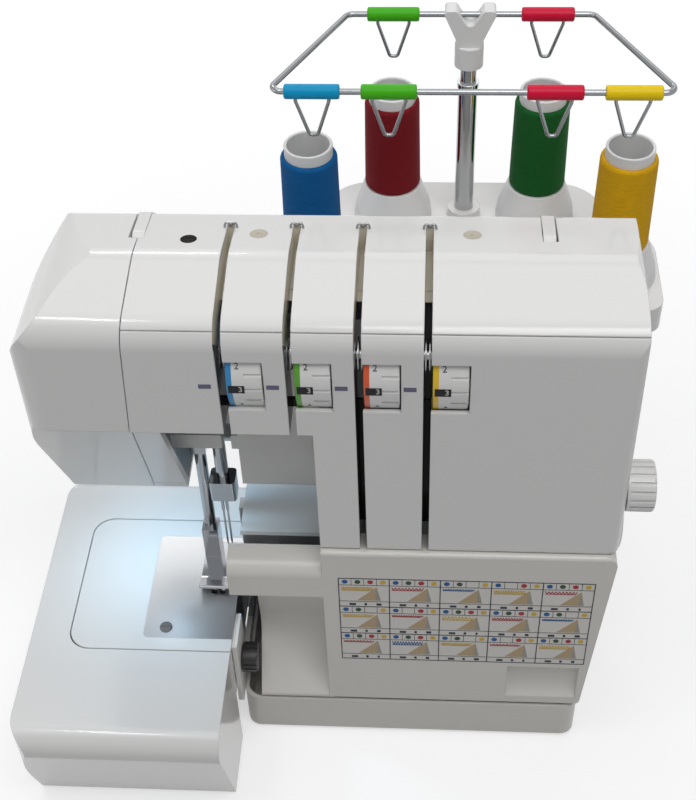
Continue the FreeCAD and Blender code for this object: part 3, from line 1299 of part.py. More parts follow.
def make_stand():
    def stand_plan(inset):
        half = d.stand_half - inset
        return [
            (d.stand_x - half, depth(stand_front) + inset, 10 - inset),
            (d.stand_x + half, depth(stand_front) + inset, 10 - inset),
            (d.stand_x + half, depth(outer_cone_depth + 24) - inset, 26),
            (d.stand_x + d.inner_cone + 26, depth(stand_rear) - inset, 26),
            (d.stand_x - d.inner_cone - 26, depth(stand_rear) - inset, 26),
            (d.stand_x - half, depth(outer_cone_depth + 24) - inset, 26),
        ]

    outer = padded("StandOuter", "XY", stand_plan(as_size(0)), d.stand_z - d.stand_height, d.stand_z)
    inner = padded("StandInner", "XY", stand_plan(d.stand_wall), d.stand_z - d.stand_height - 1,
                   d.stand_z - d.stand_wall)
    bracket = box("StandBracket", about(d.stand_x, 40), span(d.body_depth, stand_front + 6),
                  (d.stand_z - 34, d.stand_z))
    boss = rod("PoleBoss", "Z", (d.stand_x, depth(pole_depth), d.stand_z - d.stand_height),
               d.pole_radius + 4,
               d.stand_height + 6)
    pole_hole = rod("PoleHole", "Z", (d.stand_x, depth(pole_depth), d.stand_z - 30), d.pole_radius, 60)
    cones = (("blue", -d.outer_cone, outer_cone_depth), ("red", -d.inner_cone, inner_cone_depth),
             ("green", d.inner_cone, inner_cone_depth), ("mustard", d.outer_cone, outer_cone_depth))
    pins, holders = [], []
    tube, flare_top = d.cone_tube, d.cone_flare_height
    height = d.cone_rim_z - d.stand_z
    for colour, shift, back in cones:
        x, y = d.stand_x + shift, depth(back)
        pins.append(turned(f"SpoolPin_{colour}", [
            (0, 0, 0), (d.pin_radius, 0, 0), (d.pin_radius, d.pin_height, 1.5), (0, d.pin_height, 0),
        ], x, y, d.stand_z, "Z"))
        holders.append(turned(f"ConeHolder_{colour}", [
            (d.cone_flare - d.cone_wall, 0, 0), (d.cone_flare, 0, 0),
            (d.cone_flare - 1, flare_top * 0.35, 6),
            (d.thread_radius + 0.5, flare_top, 0.5), (tube, flare_top, 0), (tube, height, 0.6),
            (tube - d.cone_wall, height, 0.6), (tube - d.cone_wall, flare_top - d.cone_wall, 0),
            (d.cone_flare - d.cone_wall - 1, flare_top * 0.3, 5),
        ], x, y, d.stand_z, "Z"))
        low = d.stand_z + flare_top
        piece(f"thread_{colour}", turned(f"Thread_{colour}", [
            (tube, 0, 0), (d.thread_radius, 0, 1), (d.thread_radius - 0.8, d.thread_height, 1.5),
            (tube, d.thread_height, 0),
        ], x, y, low, "Z"))
    piece("spool_stand", cut("SpoolStand", fuse("StandBody", cut("StandShell", outer, inner), bracket,
                                                boss, *pins), pole_hole))
    piece("cone_holders", group("ConeHolders", *holders))


make_stand()


def make_tree():
    """Telescopic pole, fork, wire frame, clips and hooks."""
    x, y = d.stand_x, depth(pole_depth)
    sleeve = turned("PoleLower", [
        (d.pole_radius - d.pole_wall, 0, 0), (d.pole_radius, 0, 0),
        (d.pole_radius, d.pole_joint_z - d.pole_bottom - 3, 0),
        (d.pole_radius + 0.6, d.pole_joint_z - d.pole_bottom - 3, 0),
        (d.pole_radius + 0.6, d.pole_joint_z - d.pole_bottom, 0.4),
        (d.pole_radius - d.pole_wall, d.pole_joint_z - d.pole_bottom, 0),
    ], x, y, d.pole_bottom, "Z")
    piece("pole_lower", sleeve)
    inner = d.pole_radius - d.pole_wall - d.fit_gap
    low = d.pole_joint_z - d.pole_overlap
    piece("pole_upper", rod("PoleUpper", "Z", (x, y, low), inner, d.fork_bottom + 8 - low))
    blade = padded("ForkBlade", "XZ", [
        (x - 6, d.fork_bottom + 6, 3), (x + 6, d.fork_bottom + 6, 3), (x + 7, d.tree_z - 12, 6),
        (x + d.fork_half, d.tree_z + 4, 2), (x + d.fork_half - 7, d.tree_z + 4, 2), (x, d.tree_z - 7, 3),
        (x - d.fork_half + 7, d.tree_z + 4, 2), (x - d.fork_half, d.tree_z + 4, 2),
        (x - 7, d.tree_z - 12, 6),
    ], y - d.fork_thick / 2, y + d.fork_thick / 2)
    collar = rod("ForkCollar", "Z", (x, y, d.fork_bottom), d.pole_radius + 2.3, 12)
    pole_room = rod("ForkBore", "Z", (x, y, d.fork_bottom - 1), inner, 9)
    wire_room = rod("ForkWireBore", "X", (x - 30, y, d.tree_z), d.wire_radius, 60)
    piece("tree_fork", cut("TreeFork", fuse("ForkBody", blade, collar), pole_room, wire_room))

    wire = doc.addObject("PartDesign::Body", "GuideWire")
    path = new_sketch(wire, "XY", d.tree_z)
    outline(path, [
        (x - d.tree_half, depth(tree_front), d.tree_round),
        (x + d.tree_half, depth(tree_front), d.tree_round),
        (x + d.tree_back_half, y, d.tree_round), (x - d.tree_back_half, y, d.tree_round),
    ])
    sweep_circle(wire, path, "YZ", x, (depth(tree_front), d.tree_z), d.wire_radius)
    piece("guide_wire", wire)

    hooks = []
    front, back = depth(tree_front), y
    for colour, spots in (("blue", ((-d.clip_outer, front),)),
                          ("green", ((-d.clip_inner, front), (-d.clip_inner, back))),
                          ("pink", ((d.clip_inner, front), (d.clip_inner, back))),
                          ("yellow", ((d.clip_outer, front),))):
        sleeves = []
        for i, (shift, row) in enumerate(spots):
            start = (x + shift - d.clip_length / 2, row, d.tree_z)
            shell = turned(f"Clip_{colour}{i}", [
                (d.wire_radius, 0, 0), (d.clip_radius, 0, 1), (d.clip_radius, d.clip_length, 1),
                (d.wire_radius, d.clip_length, 0),
            ], *start, "X")
            sockets = [rod(f"ClipHole_{colour}{i}{j}", "Z",
                           (x + shift + side * d.hook_half, row, d.tree_z - d.clip_radius - 1),
                           d.hook_radius, d.clip_radius + 1 - d.wire_radius)
                       for j, side in enumerate((-1, 1))]
            sleeves.append(cut(f"ClipSleeve_{colour}{i}", shell, *sockets))
            hooks.append(make_hook(f"Hook_{colour}{i}", x + shift, row))
        piece(f"guide_clip_{colour}",
              sleeves[0] if len(sleeves) == 1 else group(f"Clips_{colour}", *sleeves))
    piece("guide_hooks", group("GuideHooks", *hooks))


def make_hook(name, x, row):
    """V of thin wire under a clip, with a round bottom."""
    body = doc.addObject("PartDesign::Body", name)
    path = new_sketch(body, "XZ", -as_size(row))
    top = d.tree_z - d.wire_radius - 0.6
    neck = d.tree_z - d.clip_radius - 1.5
    low = d.tree_z - d.hook_depth
    outline(path, [
        (x - d.hook_half, top, 0), (x - d.hook_half, neck, 1.5), (x - 2, low, 1.8), (x + 2, low, 1.8),
        (x + d.hook_half, neck, 1.5), (x + d.hook_half, top, 0),
    ], closed=False)
    sweep_circle(body, path, "XY", top, (x - d.hook_half, row), d.hook_radius)
    return body


def sweep_circle(body, path, plane, offset, centre, radius):
    """Round wire along a path, from a circle on a plane across the path's first run."""
    ring = new_sketch(body, plane, offset)
    u, v = as_size(centre[0]), as_size(centre[1])
    ring.addGeometry(Part.Circle(Vector(u.value, v.value, 0), Vector(0, 0, 1), radius.value), False)
    ring.addConstraint([
        Sketcher.Constraint("DistanceX", -1, 1, 0, 3, u.value),
        Sketcher.Constraint("DistanceY", -1, 1, 0, 3, v.value),
        Sketcher.Constraint("Radius", 0, radius.value),
    ])
    for index, size in enumerate((u, v, radius)):
        ring.setExpression(f"Constraints[{index}]", size.text)
    pipe = body.newObject("PartDesign::AdditivePipe", body.Name + "_pipe")
    pipe.Profile = ring
    pipe.Spine = path


make_tree()


def screw(name, axis, x, y, z, radius, height):
    """Slotted screw head standing on a face."""
    head = turned(name, [(0, 0, 0), (radius, 0, 0), (radius, height, height / 2), (0, height, 0)], x, y,
                  z, axis)
    if axis == "Y":
        groove = box(name + "Groove", about(x, radius + 1), (y + height / 2, y + height + 1),
                     about(z, height / 4))
    else:
        groove = box(name + "Groove", about(x, radius + 1), about(y, height / 4),
                     (z + height / 2, z + height + 1))
    return cut(name + "Head", head, groove)


def make_screws():
    rear = depth(d.body_depth)
    spots = [
        (d.face_seam_x + 14, rear, d.ledge_z - 16), (d.belt_seam_x - 12, rear, d.ledge_z - 16),
        (d.tower_left + 14, rear, d.tray_top + 16), (d.belt_seam_x - 12, rear, d.tray_top + 16),
        (d.stand_x - 30, depth(stand_front + 6), d.stand_z - 25),
        (d.stand_x + 30, depth(stand_front + 6), d.stand_z - 25),
    ]
    heads = [screw(f"RearScrew{i}", "Y", *spot, d.screw_radius, d.screw_height)
             for i, spot in enumerate(spots)]
    heads.append(screw("PlateScrew", "Z", d.plate_left + 12, depth(d.plate_front + 7), d.bed_z,
                       d.screw_radius, d.screw_height / 2))
    piece("cover_screws", group("CoverScrews", *heads))


make_screws()


def finish():
    """Checks every object of the document, then writes each piece."""
    doc.recompute()
    failed = [o.Name for o in doc.Objects if "Invalid" in o.State or "Error" in o.State]
    failed += [p.Label for p in pieces if p.Shape.isNull() or not p.Shape.isValid()]
    if failed:
        raise RuntimeError("Failed objects: " + ", ".join(failed))
    os.makedirs("parts", exist_ok=True)
    for thing in pieces:
        thing.Shape.exportStep(f"parts/{thing.Label}.step")


finish()
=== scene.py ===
import math

import bmesh
import bpy
from mathutils import Matrix, Vector


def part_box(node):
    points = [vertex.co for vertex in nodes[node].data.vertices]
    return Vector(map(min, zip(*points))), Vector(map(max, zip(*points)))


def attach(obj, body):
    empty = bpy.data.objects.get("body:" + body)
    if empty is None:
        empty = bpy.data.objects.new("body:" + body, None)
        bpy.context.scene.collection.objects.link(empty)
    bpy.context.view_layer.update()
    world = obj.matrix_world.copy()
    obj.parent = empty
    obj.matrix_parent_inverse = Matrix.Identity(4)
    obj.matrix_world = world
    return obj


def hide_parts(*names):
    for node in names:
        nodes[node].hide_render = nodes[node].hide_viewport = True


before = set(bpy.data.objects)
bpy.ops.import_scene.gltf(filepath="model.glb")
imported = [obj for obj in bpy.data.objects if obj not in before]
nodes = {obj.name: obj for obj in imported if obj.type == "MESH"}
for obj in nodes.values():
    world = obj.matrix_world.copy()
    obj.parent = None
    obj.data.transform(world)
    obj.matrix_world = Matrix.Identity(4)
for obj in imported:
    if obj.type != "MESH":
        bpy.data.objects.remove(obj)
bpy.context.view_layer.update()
scene = bpy.context.scene

# Lengths are metres in the frame of the CAD model: X to the operator's right, Y to the back, Z up.
# A depth behind the front panel is in millimetres, and depth() gives its Y.
MM = 0.001
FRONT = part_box("front_panel")[0].y
HEAD_BOTTOM = 246.5 * MM
PANEL_BOTTOM = 164.5 * MM
SEAM_Z = 308 * MM
CROWN_Z = 320 * MM
CROWN_DEPTH = 43
TOP_SLOPE = math.atan2(7, 41)
SLOT_PITCH = 31 * MM
SLOTS = [SLOT_PITCH * place for place in (-1.5, -0.5, 0.5, 1.5)]
DIALS = ("blue", "green", "orange", "yellow")


def depth(millimetres):
    """Y of a depth behind the front panel."""
    return FRONT + millimetres * MM


def top_z(back):
    """Z of the top, which falls from its crown to the back, at a depth."""
    return CROWN_Z - (back - CROWN_DEPTH) * MM * math.tan(TOP_SLOPE)


# Materials

MIX_FACTOR, MIX_FIRST, MIX_SECOND, MIX_COLOUR = 0, 6, 7, 2
BEVEL_SAMPLES = 4


class Look:
    """A node material under construction: a principled shader and short calls that add nodes to it."""

    def __init__(self, name):
        self.material = bpy.data.materials.new(name)
        self.material.use_nodes = True
        self.tree = self.material.node_tree
        self.shader = self.tree.nodes["Principled BSDF"]
        self.place = None

    def put(self, socket, value):
        """Links a socket to another one, or sets its number, vector or colour."""
        if isinstance(value, bpy.types.NodeSocket):
            self.tree.links.new(value, socket)
        elif socket.type == "RGBA":
            socket.default_value = (*value, 1)
        else:
            socket.default_value = value

    def node(self, kind, inputs=None, **settings):
        made = self.tree.nodes.new(kind)
        for name, value in settings.items():
            setattr(made, name, value)
        for socket, value in (inputs or {}).items():
            self.put(made.inputs[socket], value)
        return made

    def feed(self, socket, value):
        self.put(self.shader.inputs[socket], value)

    def base(self):
        """What the shader's colour is linked to so far."""
        return self.shader.inputs["Base Color"].links[0].from_socket

    def coordinates(self):
        """Object coordinates, which are the CAD frame's own metres."""
        if self.place is None:
            self.place = self.node("ShaderNodeTexCoord").outputs["Object"]
        return self.place

    def axis(self, name):
        return self.node("ShaderNodeSeparateXYZ", {0: self.coordinates()}).outputs[name]

    def math(self, work, first, second):
        return self.node("ShaderNodeMath", {0: first, 1: second}, operation=work).outputs[0]

    def between(self, value, low, high):
        """1 where low < value < high, else 0."""
        above = self.math("GREATER_THAN", value, low)
        below = self.math("LESS_THAN", value, high)
        return self.math("MULTIPLY", above, below)

    def noise(self, scale, detail, stretch=None):
        vector = self.coordinates()
        if stretch:
            vector = self.node("ShaderNodeMapping", {"Vector": vector, "Scale": stretch}).outputs[0]
        made = self.node("ShaderNodeTexNoise", {"Vector": vector, "Scale": scale, "Detail": detail})
        return made.outputs["Fac"]

    def remap(self, value, low, high, start=0.0, end=1.0):
        """Carries a value that runs from start to end over to low and high."""
        made = self.node("ShaderNodeMapRange", {"Value": value, "From Min": start, "From Max": end,
                                                "To Min": low, "To Max": high})
        return made.outputs["Result"]

    def mix(self, factor, first, second):
        inputs = {MIX_FACTOR: factor, MIX_FIRST: first, MIX_SECOND: second}
        return self.node("ShaderNodeMix", inputs, data_type="RGBA").outputs[MIX_COLOUR]

    def relief(self, height, strength, distance, edge=0.0):
        """Bump from a height, over edges softened by a small radius where one is given."""
        bump = self.node("ShaderNodeBump", {"Height": height, "Strength": strength, "Distance": distance})
        if edge:
            soft = self.node("ShaderNodeBevel", {"Radius": edge}, samples=BEVEL_SAMPLES)
            self.put(bump.inputs["Normal"], soft.outputs[0])
        self.feed("Normal", bump.outputs[0])


def dimmed(colour, share):
    return tuple(part * share for part in colour)


WHITE = (0.77, 0.767, 0.76)
WARM_WHITE = (0.71, 0.69, 0.655)
KNOB_WHITE = (0.8, 0.8, 0.79)
CONE_WHITE = (0.8, 0.8, 0.8)
BLACK = (0.02, 0.02, 0.021)
PLUG_BEIGE = (0.5, 0.46, 0.38)
# Dark colour of the thread eye's disc: painted shade for the inside of the hole
EYE_PAINTED_SHADE = (0.02, 0.018, 0.017)
SHELL_ROUGHNESS = 0.13
SHELL_EDGE = 0.8 * MM
PLASTIC_IOR = 1.49


def plastic(name, colour, roughness, grain, edge, mottle=0.015):
    """Moulded plastic: a faint cloud in its colour, a fine grain and softened edges."""
    look = Look(name)
    cloud = look.noise(scale=14, detail=3)
    wear = look.noise(scale=60, detail=4)
    look.feed("Base Color", look.mix(cloud, dimmed(colour, 1 - mottle), colour))
    look.feed("Roughness", look.remap(wear, low=roughness * 0.92, high=roughness * 1.1))
    look.feed("IOR", PLASTIC_IOR)
    look.relief(look.noise(scale=2600, detail=2), strength=grain, distance=0.15 * MM, edge=edge)
    return look


def shell_plastic(name):
    return plastic(name, WHITE, SHELL_ROUGHNESS, grain=0.02, edge=SHELL_EDGE)


# Insides of the thread slots, which run up the front and over the top
SLOT_WIDTH = 3.5 * MM
SLOT_SLACK = 0.06 * MM
SLOT_LIP, SLOT_DEPTH, SLOT_END = 1.2, 22, 69.5
SLOT_FLOOR, SLOT_RIM = SEAM_Z - 8 * MM, SEAM_Z + 8.5 * MM
SLOT_SHADE = SEAM_Z - 4 * MM
# Slot walls: their pale colour, and a dark colour painted below the slanting line as painted shade in the
# deep slots
SLOT_PALE = (0.82, 0.78, 0.68)
SLOT_PAINTED_SHADE = (0.028, 0.026, 0.024)
SHELL_SPECULAR, SLOT_SPECULAR = 0.5, 0.05


def body_plastic(name):
    """Housing plastic, with painted shade, a dark colour, on the walls in the front of the thread slots and
    pale walls on top.
    """
    look = shell_plastic(name)
    x, y, z = (look.axis(letter) for letter in "XYZ")
    across = look.math("PINGPONG", look.math("SUBTRACT", x, SLOT_PITCH / 2), SLOT_PITCH / 2)
    in_slot = look.math("LESS_THAN", across, SLOT_WIDTH / 2 + SLOT_SLACK)
    in_row = look.between(x, SLOTS[0] - SLOT_WIDTH, SLOTS[-1] + SLOT_WIDTH)
    inside = look.math("MULTIPLY", in_slot, in_row)
    # The two slots on the right go on below the head, down to the foot of the panel.
    drop = look.math("MULTIPLY", look.math("GREATER_THAN", x, 0.0), PANEL_BOTTOM - HEAD_BOTTOM)
    above = look.math("GREATER_THAN", z, look.math("ADD", drop, HEAD_BOTTOM))
    front = look.math("MULTIPLY", look.between(y, depth(SLOT_LIP), depth(SLOT_DEPTH)), above)
    before_end = look.math("LESS_THAN", y, depth(SLOT_END))
    on_top = look.math("MULTIPLY", look.between(z, SLOT_FLOOR, SLOT_RIM), before_end)
    hollow = look.math("MULTIPLY", inside, look.math("MAXIMUM", front, on_top))
    # Painted shade: slot walls below the slanting line take the dark colour
    shaded = look.math("LESS_THAN", look.math("ADD", y, z), FRONT + SLOT_SHADE)
    wall_with_painted_shade = look.mix(shaded, SLOT_PALE, SLOT_PAINTED_SHADE)
    look.feed("Base Color", look.mix(hollow, look.base(), wall_with_painted_shade))
    look.feed("Specular IOR Level", look.remap(hollow, low=SHELL_SPECULAR, high=SLOT_SPECULAR))
    return look


STEEL = (0.5, 0.51, 0.52)
CHROME = (0.4, 0.41, 0.43)
WIRE_CHROME = (0.25, 0.26, 0.27)
HOOK_CHROME = (0.3, 0.31, 0.32)
SCREW_STEEL = (0.16, 0.16, 0.17)
POLE_STEEL = (0.52, 0.53, 0.54)
BRONZE = (0.55, 0.35, 0.16)
MOTOR_GREY = (0.08, 0.08, 0.085)
METAL_EDGE = 0.2 * MM


def metal(name, colour, roughness, grain, stretch=None):
    """Worked metal, streaked along the direction that the noise is stretched in."""
    look = Look(name)
    streak = look.noise(scale=1500, detail=3, stretch=stretch)
    look.feed("Base Color", look.mix(streak, dimmed(colour, 0.93), colour))
    look.feed("Metallic", 1.0)
    look.feed("Roughness", look.remap(streak, low=roughness * 0.9, high=roughness * 1.12))
    look.relief(streak, strength=grain, distance=0.05 * MM, edge=METAL_EDGE)
    return look


# Painted parts of the casting: the guard plate behind the needles and the edge of the bed
GUARD_BACK = 47
GUARD_LOW = 150 * MM
BED_EDGE = -53 * MM
PAINT = (0.8, 0.79, 0.77)
CAST_METALLIC, PAINT_METALLIC = 0.9, 0.0


def cast_metal(name, colour):
    """Raw casting, whose guard plate and bed edge are painted."""
    look = Look(name)
    raw = look.mix(look.noise(scale=60, detail=4), dimmed(colour, 0.8), colour)
    x, y, z = (look.axis(letter) for letter in "XYZ")
    forward = look.math("LESS_THAN", y, depth(GUARD_BACK))
    guard = look.math("MULTIPLY", forward, look.math("GREATER_THAN", z, GUARD_LOW))
    edge = look.math("MULTIPLY", forward, look.math("LESS_THAN", x, BED_EDGE))
    painted = look.math("MAXIMUM", guard, edge)
    look.feed("Base Color", look.mix(painted, raw, PAINT))
    look.feed("Metallic", look.remap(painted, low=CAST_METALLIC, high=PAINT_METALLIC))
    look.feed("Roughness", look.remap(look.noise(scale=300, detail=4), low=0.38, high=0.6))
    look.relief(look.noise(scale=700, detail=5), strength=0.25, distance=0.3 * MM, edge=0.6 * MM)
    return look


RUBBER_DARK, RUBBER_GREY = (0.018, 0.018, 0.018), (0.035, 0.035, 0.034)


def rubber(name):
    look = Look(name)
    look.feed("Base Color", look.mix(look.noise(scale=90, detail=3), RUBBER_DARK, RUBBER_GREY))
    look.feed("Roughness", look.remap(look.noise(scale=200, detail=3), low=0.62, high=0.8))
    look.relief(look.noise(scale=1500, detail=4), strength=0.2, distance=0.1 * MM, edge=0.4 * MM)
    return look


THREAD_STRETCH = (0.4, 0.4, 3.0)


def thread_look(name, colour):
    """Dyed thread: streaks that follow the winding, with a soft sheen."""
    look = Look(name)
    streak = look.noise(scale=700, detail=3, stretch=THREAD_STRETCH)
    fleck = look.remap(look.noise(scale=90, detail=2), low=0, high=0.35)
    lighter = tuple(min(1, part * 1.18 + 0.01) for part in colour)
    tone = look.mix(streak, dimmed(colour, 0.62), lighter)
    look.feed("Base Color", look.mix(fleck, tone, dimmed(colour, 0.8)))
    look.feed("Roughness", 0.7)
    look.feed("Specular IOR Level", 0.1)
    look.feed("Sheen Weight", 0.03)
    look.relief(streak, strength=0.35, distance=0.12 * MM)
    return look


RING_WIDTH = 2.7 * MM


def dial_look(name, colour, left):
    """White drum with a coloured ring along its left rim."""
    look = plastic(name, KNOB_WHITE, roughness=0.3, grain=0.03, edge=0.35 * MM)
    ring = look.math("LESS_THAN", look.axis("X"), left + RING_WIDTH)
    tint = look.mix(look.noise(scale=60, detail=2), dimmed(colour, 0.85), colour)
    look.feed("Base Color", look.mix(ring, look.base(), tint))
    return look


LENS_DIM, LENS_PALE = (0.75, 0.8, 0.85), (0.85, 0.9, 0.95)
LENS_GLOW = (0.75, 0.88, 1.0)
LENS_STRENGTH = 2.0
LENS_RIBS = 90.0


def lens_look(name):
    """Ribbed lamp lens that glows."""
    look = Look(name)
    inputs = {"Vector": look.coordinates(), "Scale": LENS_RIBS}
    ribs = look.node("ShaderNodeTexWave", inputs, bands_direction="X").outputs["Fac"]
    look.feed("Base Color", look.mix(ribs, LENS_DIM, LENS_PALE))
    look.feed("Roughness", 0.35)
    look.feed("Emission Color", LENS_GLOW)
    look.feed("Emission Strength", LENS_STRENGTH)
    look.relief(ribs, strength=0.3, distance=0.2 * MM)
    return look


INK_ROUGHNESS = 0.45
INK_SPECULAR = 0.15


def print_look(name, colour):
    """Printed ink: slightly uneven cover and a low gloss."""
    look = Look(name)
    cover = look.noise(scale=1200, detail=3)
    thin = tuple(part * 0.85 + 0.005 for part in colour)
    look.feed("Base Color", look.mix(cover, thin, colour))
    look.feed("Roughness", look.remap(cover, low=INK_ROUGHNESS * 0.9, high=INK_ROUGHNESS * 1.15))
    look.feed("Specular IOR Level", INK_SPECULAR)
    return look


DIAL_COLOURS = {
    "blue": (0.015, 0.27, 0.6),
    "green": (0.09, 0.38, 0.01),
    "orange": (0.78, 0.1, 0.02),
    "yellow": (0.87, 0.56, 0.01),
}
CLIP_COLOURS = {
    "blue": (0.0, 0.33, 0.62),
    "green": (0.06, 0.47, 0.005),
    "pink": (0.7, 0.003, 0.045),
    "yellow": (0.9, 0.64, 0.003),
}
CLIP_SPECULAR = 0.2
THREAD_COLOURS = {
    "blue": (0.002, 0.12, 0.36),
    "red": (0.22, 0.006, 0.012),
    "green": (0.006, 0.115, 0.018),
    "mustard": (0.86, 0.47, 0.006),
}
GROUND_STRETCH = (1, 0.1, 1)
POLE_STRETCH = (1, 1, 0.02)


def dress(look, *names):
    """Gives CAD nodes a finished material."""
    for name in names:
        mesh = nodes[name].data
        mesh.materials.clear()
        mesh.materials.append(look.material)


def dress_all():
    """Gives every CAD node its material."""
    dress(body_plastic("housing_white"), "front_panel", "top_cover", "face_cover", "rear_cover", "belt_cover")
    dress(shell_plastic("cover_white"), "free_arm", "extension_table", "carry_handle", "spool_stand")
    dress(plastic("door_white", WARM_WHITE, roughness=0.26, grain=0.03, edge=SHELL_EDGE),
          "looper_cover", "base_tray", "inner_panel")
    dress(plastic("knob_white", KNOB_WHITE, roughness=0.34, grain=0.06, edge=0.4 * MM),
          "handwheel", "stitch_length_dial", "differential_dial")
    dress(plastic("cone_white", CONE_WHITE, roughness=0.4, grain=0.08, edge=0.4 * MM),
          "cone_holders", "tree_fork")
    dress(plastic("black_plastic", BLACK, roughness=0.38, grain=0.2, edge=0.3 * MM, mottle=0.3),
          "cutting_width_knob", "power_inlet", "power_switch", "drive_pulley", "motor_pulley")
    dress(rubber("black_rubber"), "rubber_feet", "drive_belt")
    dress(cast_metal("cast_frame", STEEL), "machine_frame")
    dress(metal("ground_steel", STEEL, roughness=0.3, grain=0.015, stretch=GROUND_STRETCH),
          "needle_plate", "lower_knife", "upper_knife", "upper_looper", "lower_looper", "feed_dogs",
          "main_shaft", "hinge_pin", "tension_posts", "presser_lifter")
    dress(metal("chrome", CHROME, roughness=0.12, grain=0.02),
          "needle_bar", "needle_clamp", "needles", "presser_bar", "presser_foot")
    dress(metal("wire_chrome", WIRE_CHROME, roughness=0.14, grain=0.02), "guide_hooks", "guide_wire")
    dress(metal("screw_steel", SCREW_STEEL, roughness=0.35, grain=0.03), "cover_screws")
    dress(metal("bronze", BRONZE, roughness=0.35, grain=0.1), "shaft_bushes")
    dress(metal("motor_case", MOTOR_GREY, roughness=0.45, grain=0.1), "motor")
    dress(metal("pole_tube", POLE_STEEL, roughness=0.12, grain=0.01, stretch=POLE_STRETCH),
          "pole_lower", "pole_upper")
    dress(lens_look("lamp"), "lamp_lens")
    for colour in DIALS:
        name = f"tension_dial_{colour}"
        dress(dial_look(f"dial_{colour}", DIAL_COLOURS[colour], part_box(name)[0].x), name)
    for colour, shade in CLIP_COLOURS.items():
        clip = plastic(f"clip_{colour}", shade, roughness=0.35, grain=0.05, edge=0.3 * MM, mottle=0.12)
        clip.feed("Specular IOR Level", CLIP_SPECULAR)
        dress(clip, f"guide_clip_{colour}")
    for colour, shade in THREAD_COLOURS.items():
        dress(thread_look(f"thread_{colour}", shade), f"thread_{colour}")


# Camera, surroundings and light

CAMERA_PLACE = Vector((47.3, -521.6, 714.3)) * MM
CAMERA_RIGHT = Vector((0.9981, 0.0531, -0.0291))
CAMERA_UP = Vector((-0.0168, 0.7044, 0.7096))
CAMERA_LENS = 62.5
CAMERA_NEAR = 0.01


def make_camera():
    data = bpy.data.cameras.new("camera")
    data.lens = CAMERA_LENS
    data.clip_start = CAMERA_NEAR
    camera = bpy.data.objects.new("camera", data)
    back = CAMERA_RIGHT.cross(CAMERA_UP).normalized()
    up = back.cross(CAMERA_RIGHT).normalized()
    turn = Matrix((CAMERA_RIGHT.normalized(), up, back)).transposed()
    camera.matrix_world = Matrix.Translation(CAMERA_PLACE) @ turn.to_4x4()
    scene.collection.objects.link(camera)
    scene.camera = camera


def sight_rays(tree):
    """1 for the rays that show the surroundings: from the camera, off a gloss or through glass."""
    path = tree.nodes.new("ShaderNodeLightPath")
    total = path.outputs["Is Camera Ray"]
    for name in ("Is Glossy Ray", "Is Transmission Ray"):
        either = tree.nodes.new("ShaderNodeMath")
        either.operation = "MAXIMUM"
        tree.links.new(total, either.inputs[0])
        tree.links.new(path.outputs[name], either.inputs[1])
        total = either.outputs[0]
    return total


WORLD_LIGHT, WORLD_WHITE = 0.18, 1.0


def make_world():
    """White where it is seen, and a low even light from all around."""
    world = bpy.data.worlds.new("studio")
    world.use_nodes = True
    scene.world = world
    tree = world.node_tree
    light = tree.nodes["Background"]
    backdrop = tree.nodes.new("ShaderNodeBackground")
    for shader, strength in ((light, WORLD_LIGHT), (backdrop, WORLD_WHITE)):
        shader.inputs["Color"].default_value = (1, 1, 1, 1)
        shader.inputs["Strength"].default_value = strength
    mix = tree.nodes.new("ShaderNodeMixShader")
    tree.links.new(sight_rays(tree), mix.inputs[0])
    tree.links.new(light.outputs[0], mix.inputs[1])
    tree.links.new(backdrop.outputs[0], mix.inputs[2])
    tree.links.new(mix.outputs[0], tree.nodes["World Output"].inputs["Surface"])


FLOOR_HALF = 4
FLOOR_COLOUR = (0.55, 0.55, 0.555)
FLOOR_ROUGHNESS = 0.9
# Floor lift seen by camera and glossy rays: lowest near the machine, as painted shade round it, and white far
# off
FLOOR_LIFT, FLOOR_WHITE = 0.56, 1.0
FADE_START, FADE_END = 0.35, 1.6


def make_floor():
    """Pale floor that keeps the shadow of the machine and fades to white around it; its lower lift near the
    machine adds painted shade there.
    """
    half = FLOOR_HALF
    corners = [(-half, -half, 0), (half, -half, 0), (half, half, 0), (-half, half, 0)]
    mesh = bpy.data.meshes.new("floor")
    mesh.from_pydata(corners, [], [(0, 1, 2, 3)])
    floor = bpy.data.objects.new("floor", mesh)
    scene.collection.objects.link(floor)
    look = Look("floor")
    look.feed("Base Color", FLOOR_COLOUR)
    look.feed("Roughness", FLOOR_ROUGHNESS)
    look.feed("Specular IOR Level", 0.0)
    look.feed("Emission Color", (1, 1, 1))
    away = look.node("ShaderNodeVectorMath", {0: look.coordinates()}, operation="LENGTH").outputs["Value"]
    fade = look.remap(away, low=FLOOR_LIFT, high=FLOOR_WHITE, start=FADE_START, end=FADE_END)
    look.feed("Emission Strength", look.math("MULTIPLY", sight_rays(look.tree), fade))
    mesh.materials.append(look.material)


# Each lamp's place, the point it is aimed at, its width and height, and its power in watts
LAMPS = {
    "key": ((-0.1, 0.0, 1.6), (0, 0, 0.15), (1.6, 1.3), 7.6),
    "front_high": ((0.4, -0.65, 1.6), (0.05, 0, 0.2), (1.0, 0.5), 7.4),
    "side_fill": ((-1.2, -0.2, 0.42), (-0.05, -0.02, 0.13), (0.8, 0.5), 1.5),
    "rear_soft": ((0.2, 1.9, 1.9), (0, 0, 0.3), (2.2, 1.0), 6),
    "rear_strip": ((-0.62, 1.7, 1.68), (-0.08, 0, 0.31), (0.55, 0.09), 2.2),
    "brow_strip": ((-0.47, -0.28, 1.7), (-0.1, -0.07, 0.31), (0.28, 0.07), 1.2),
}


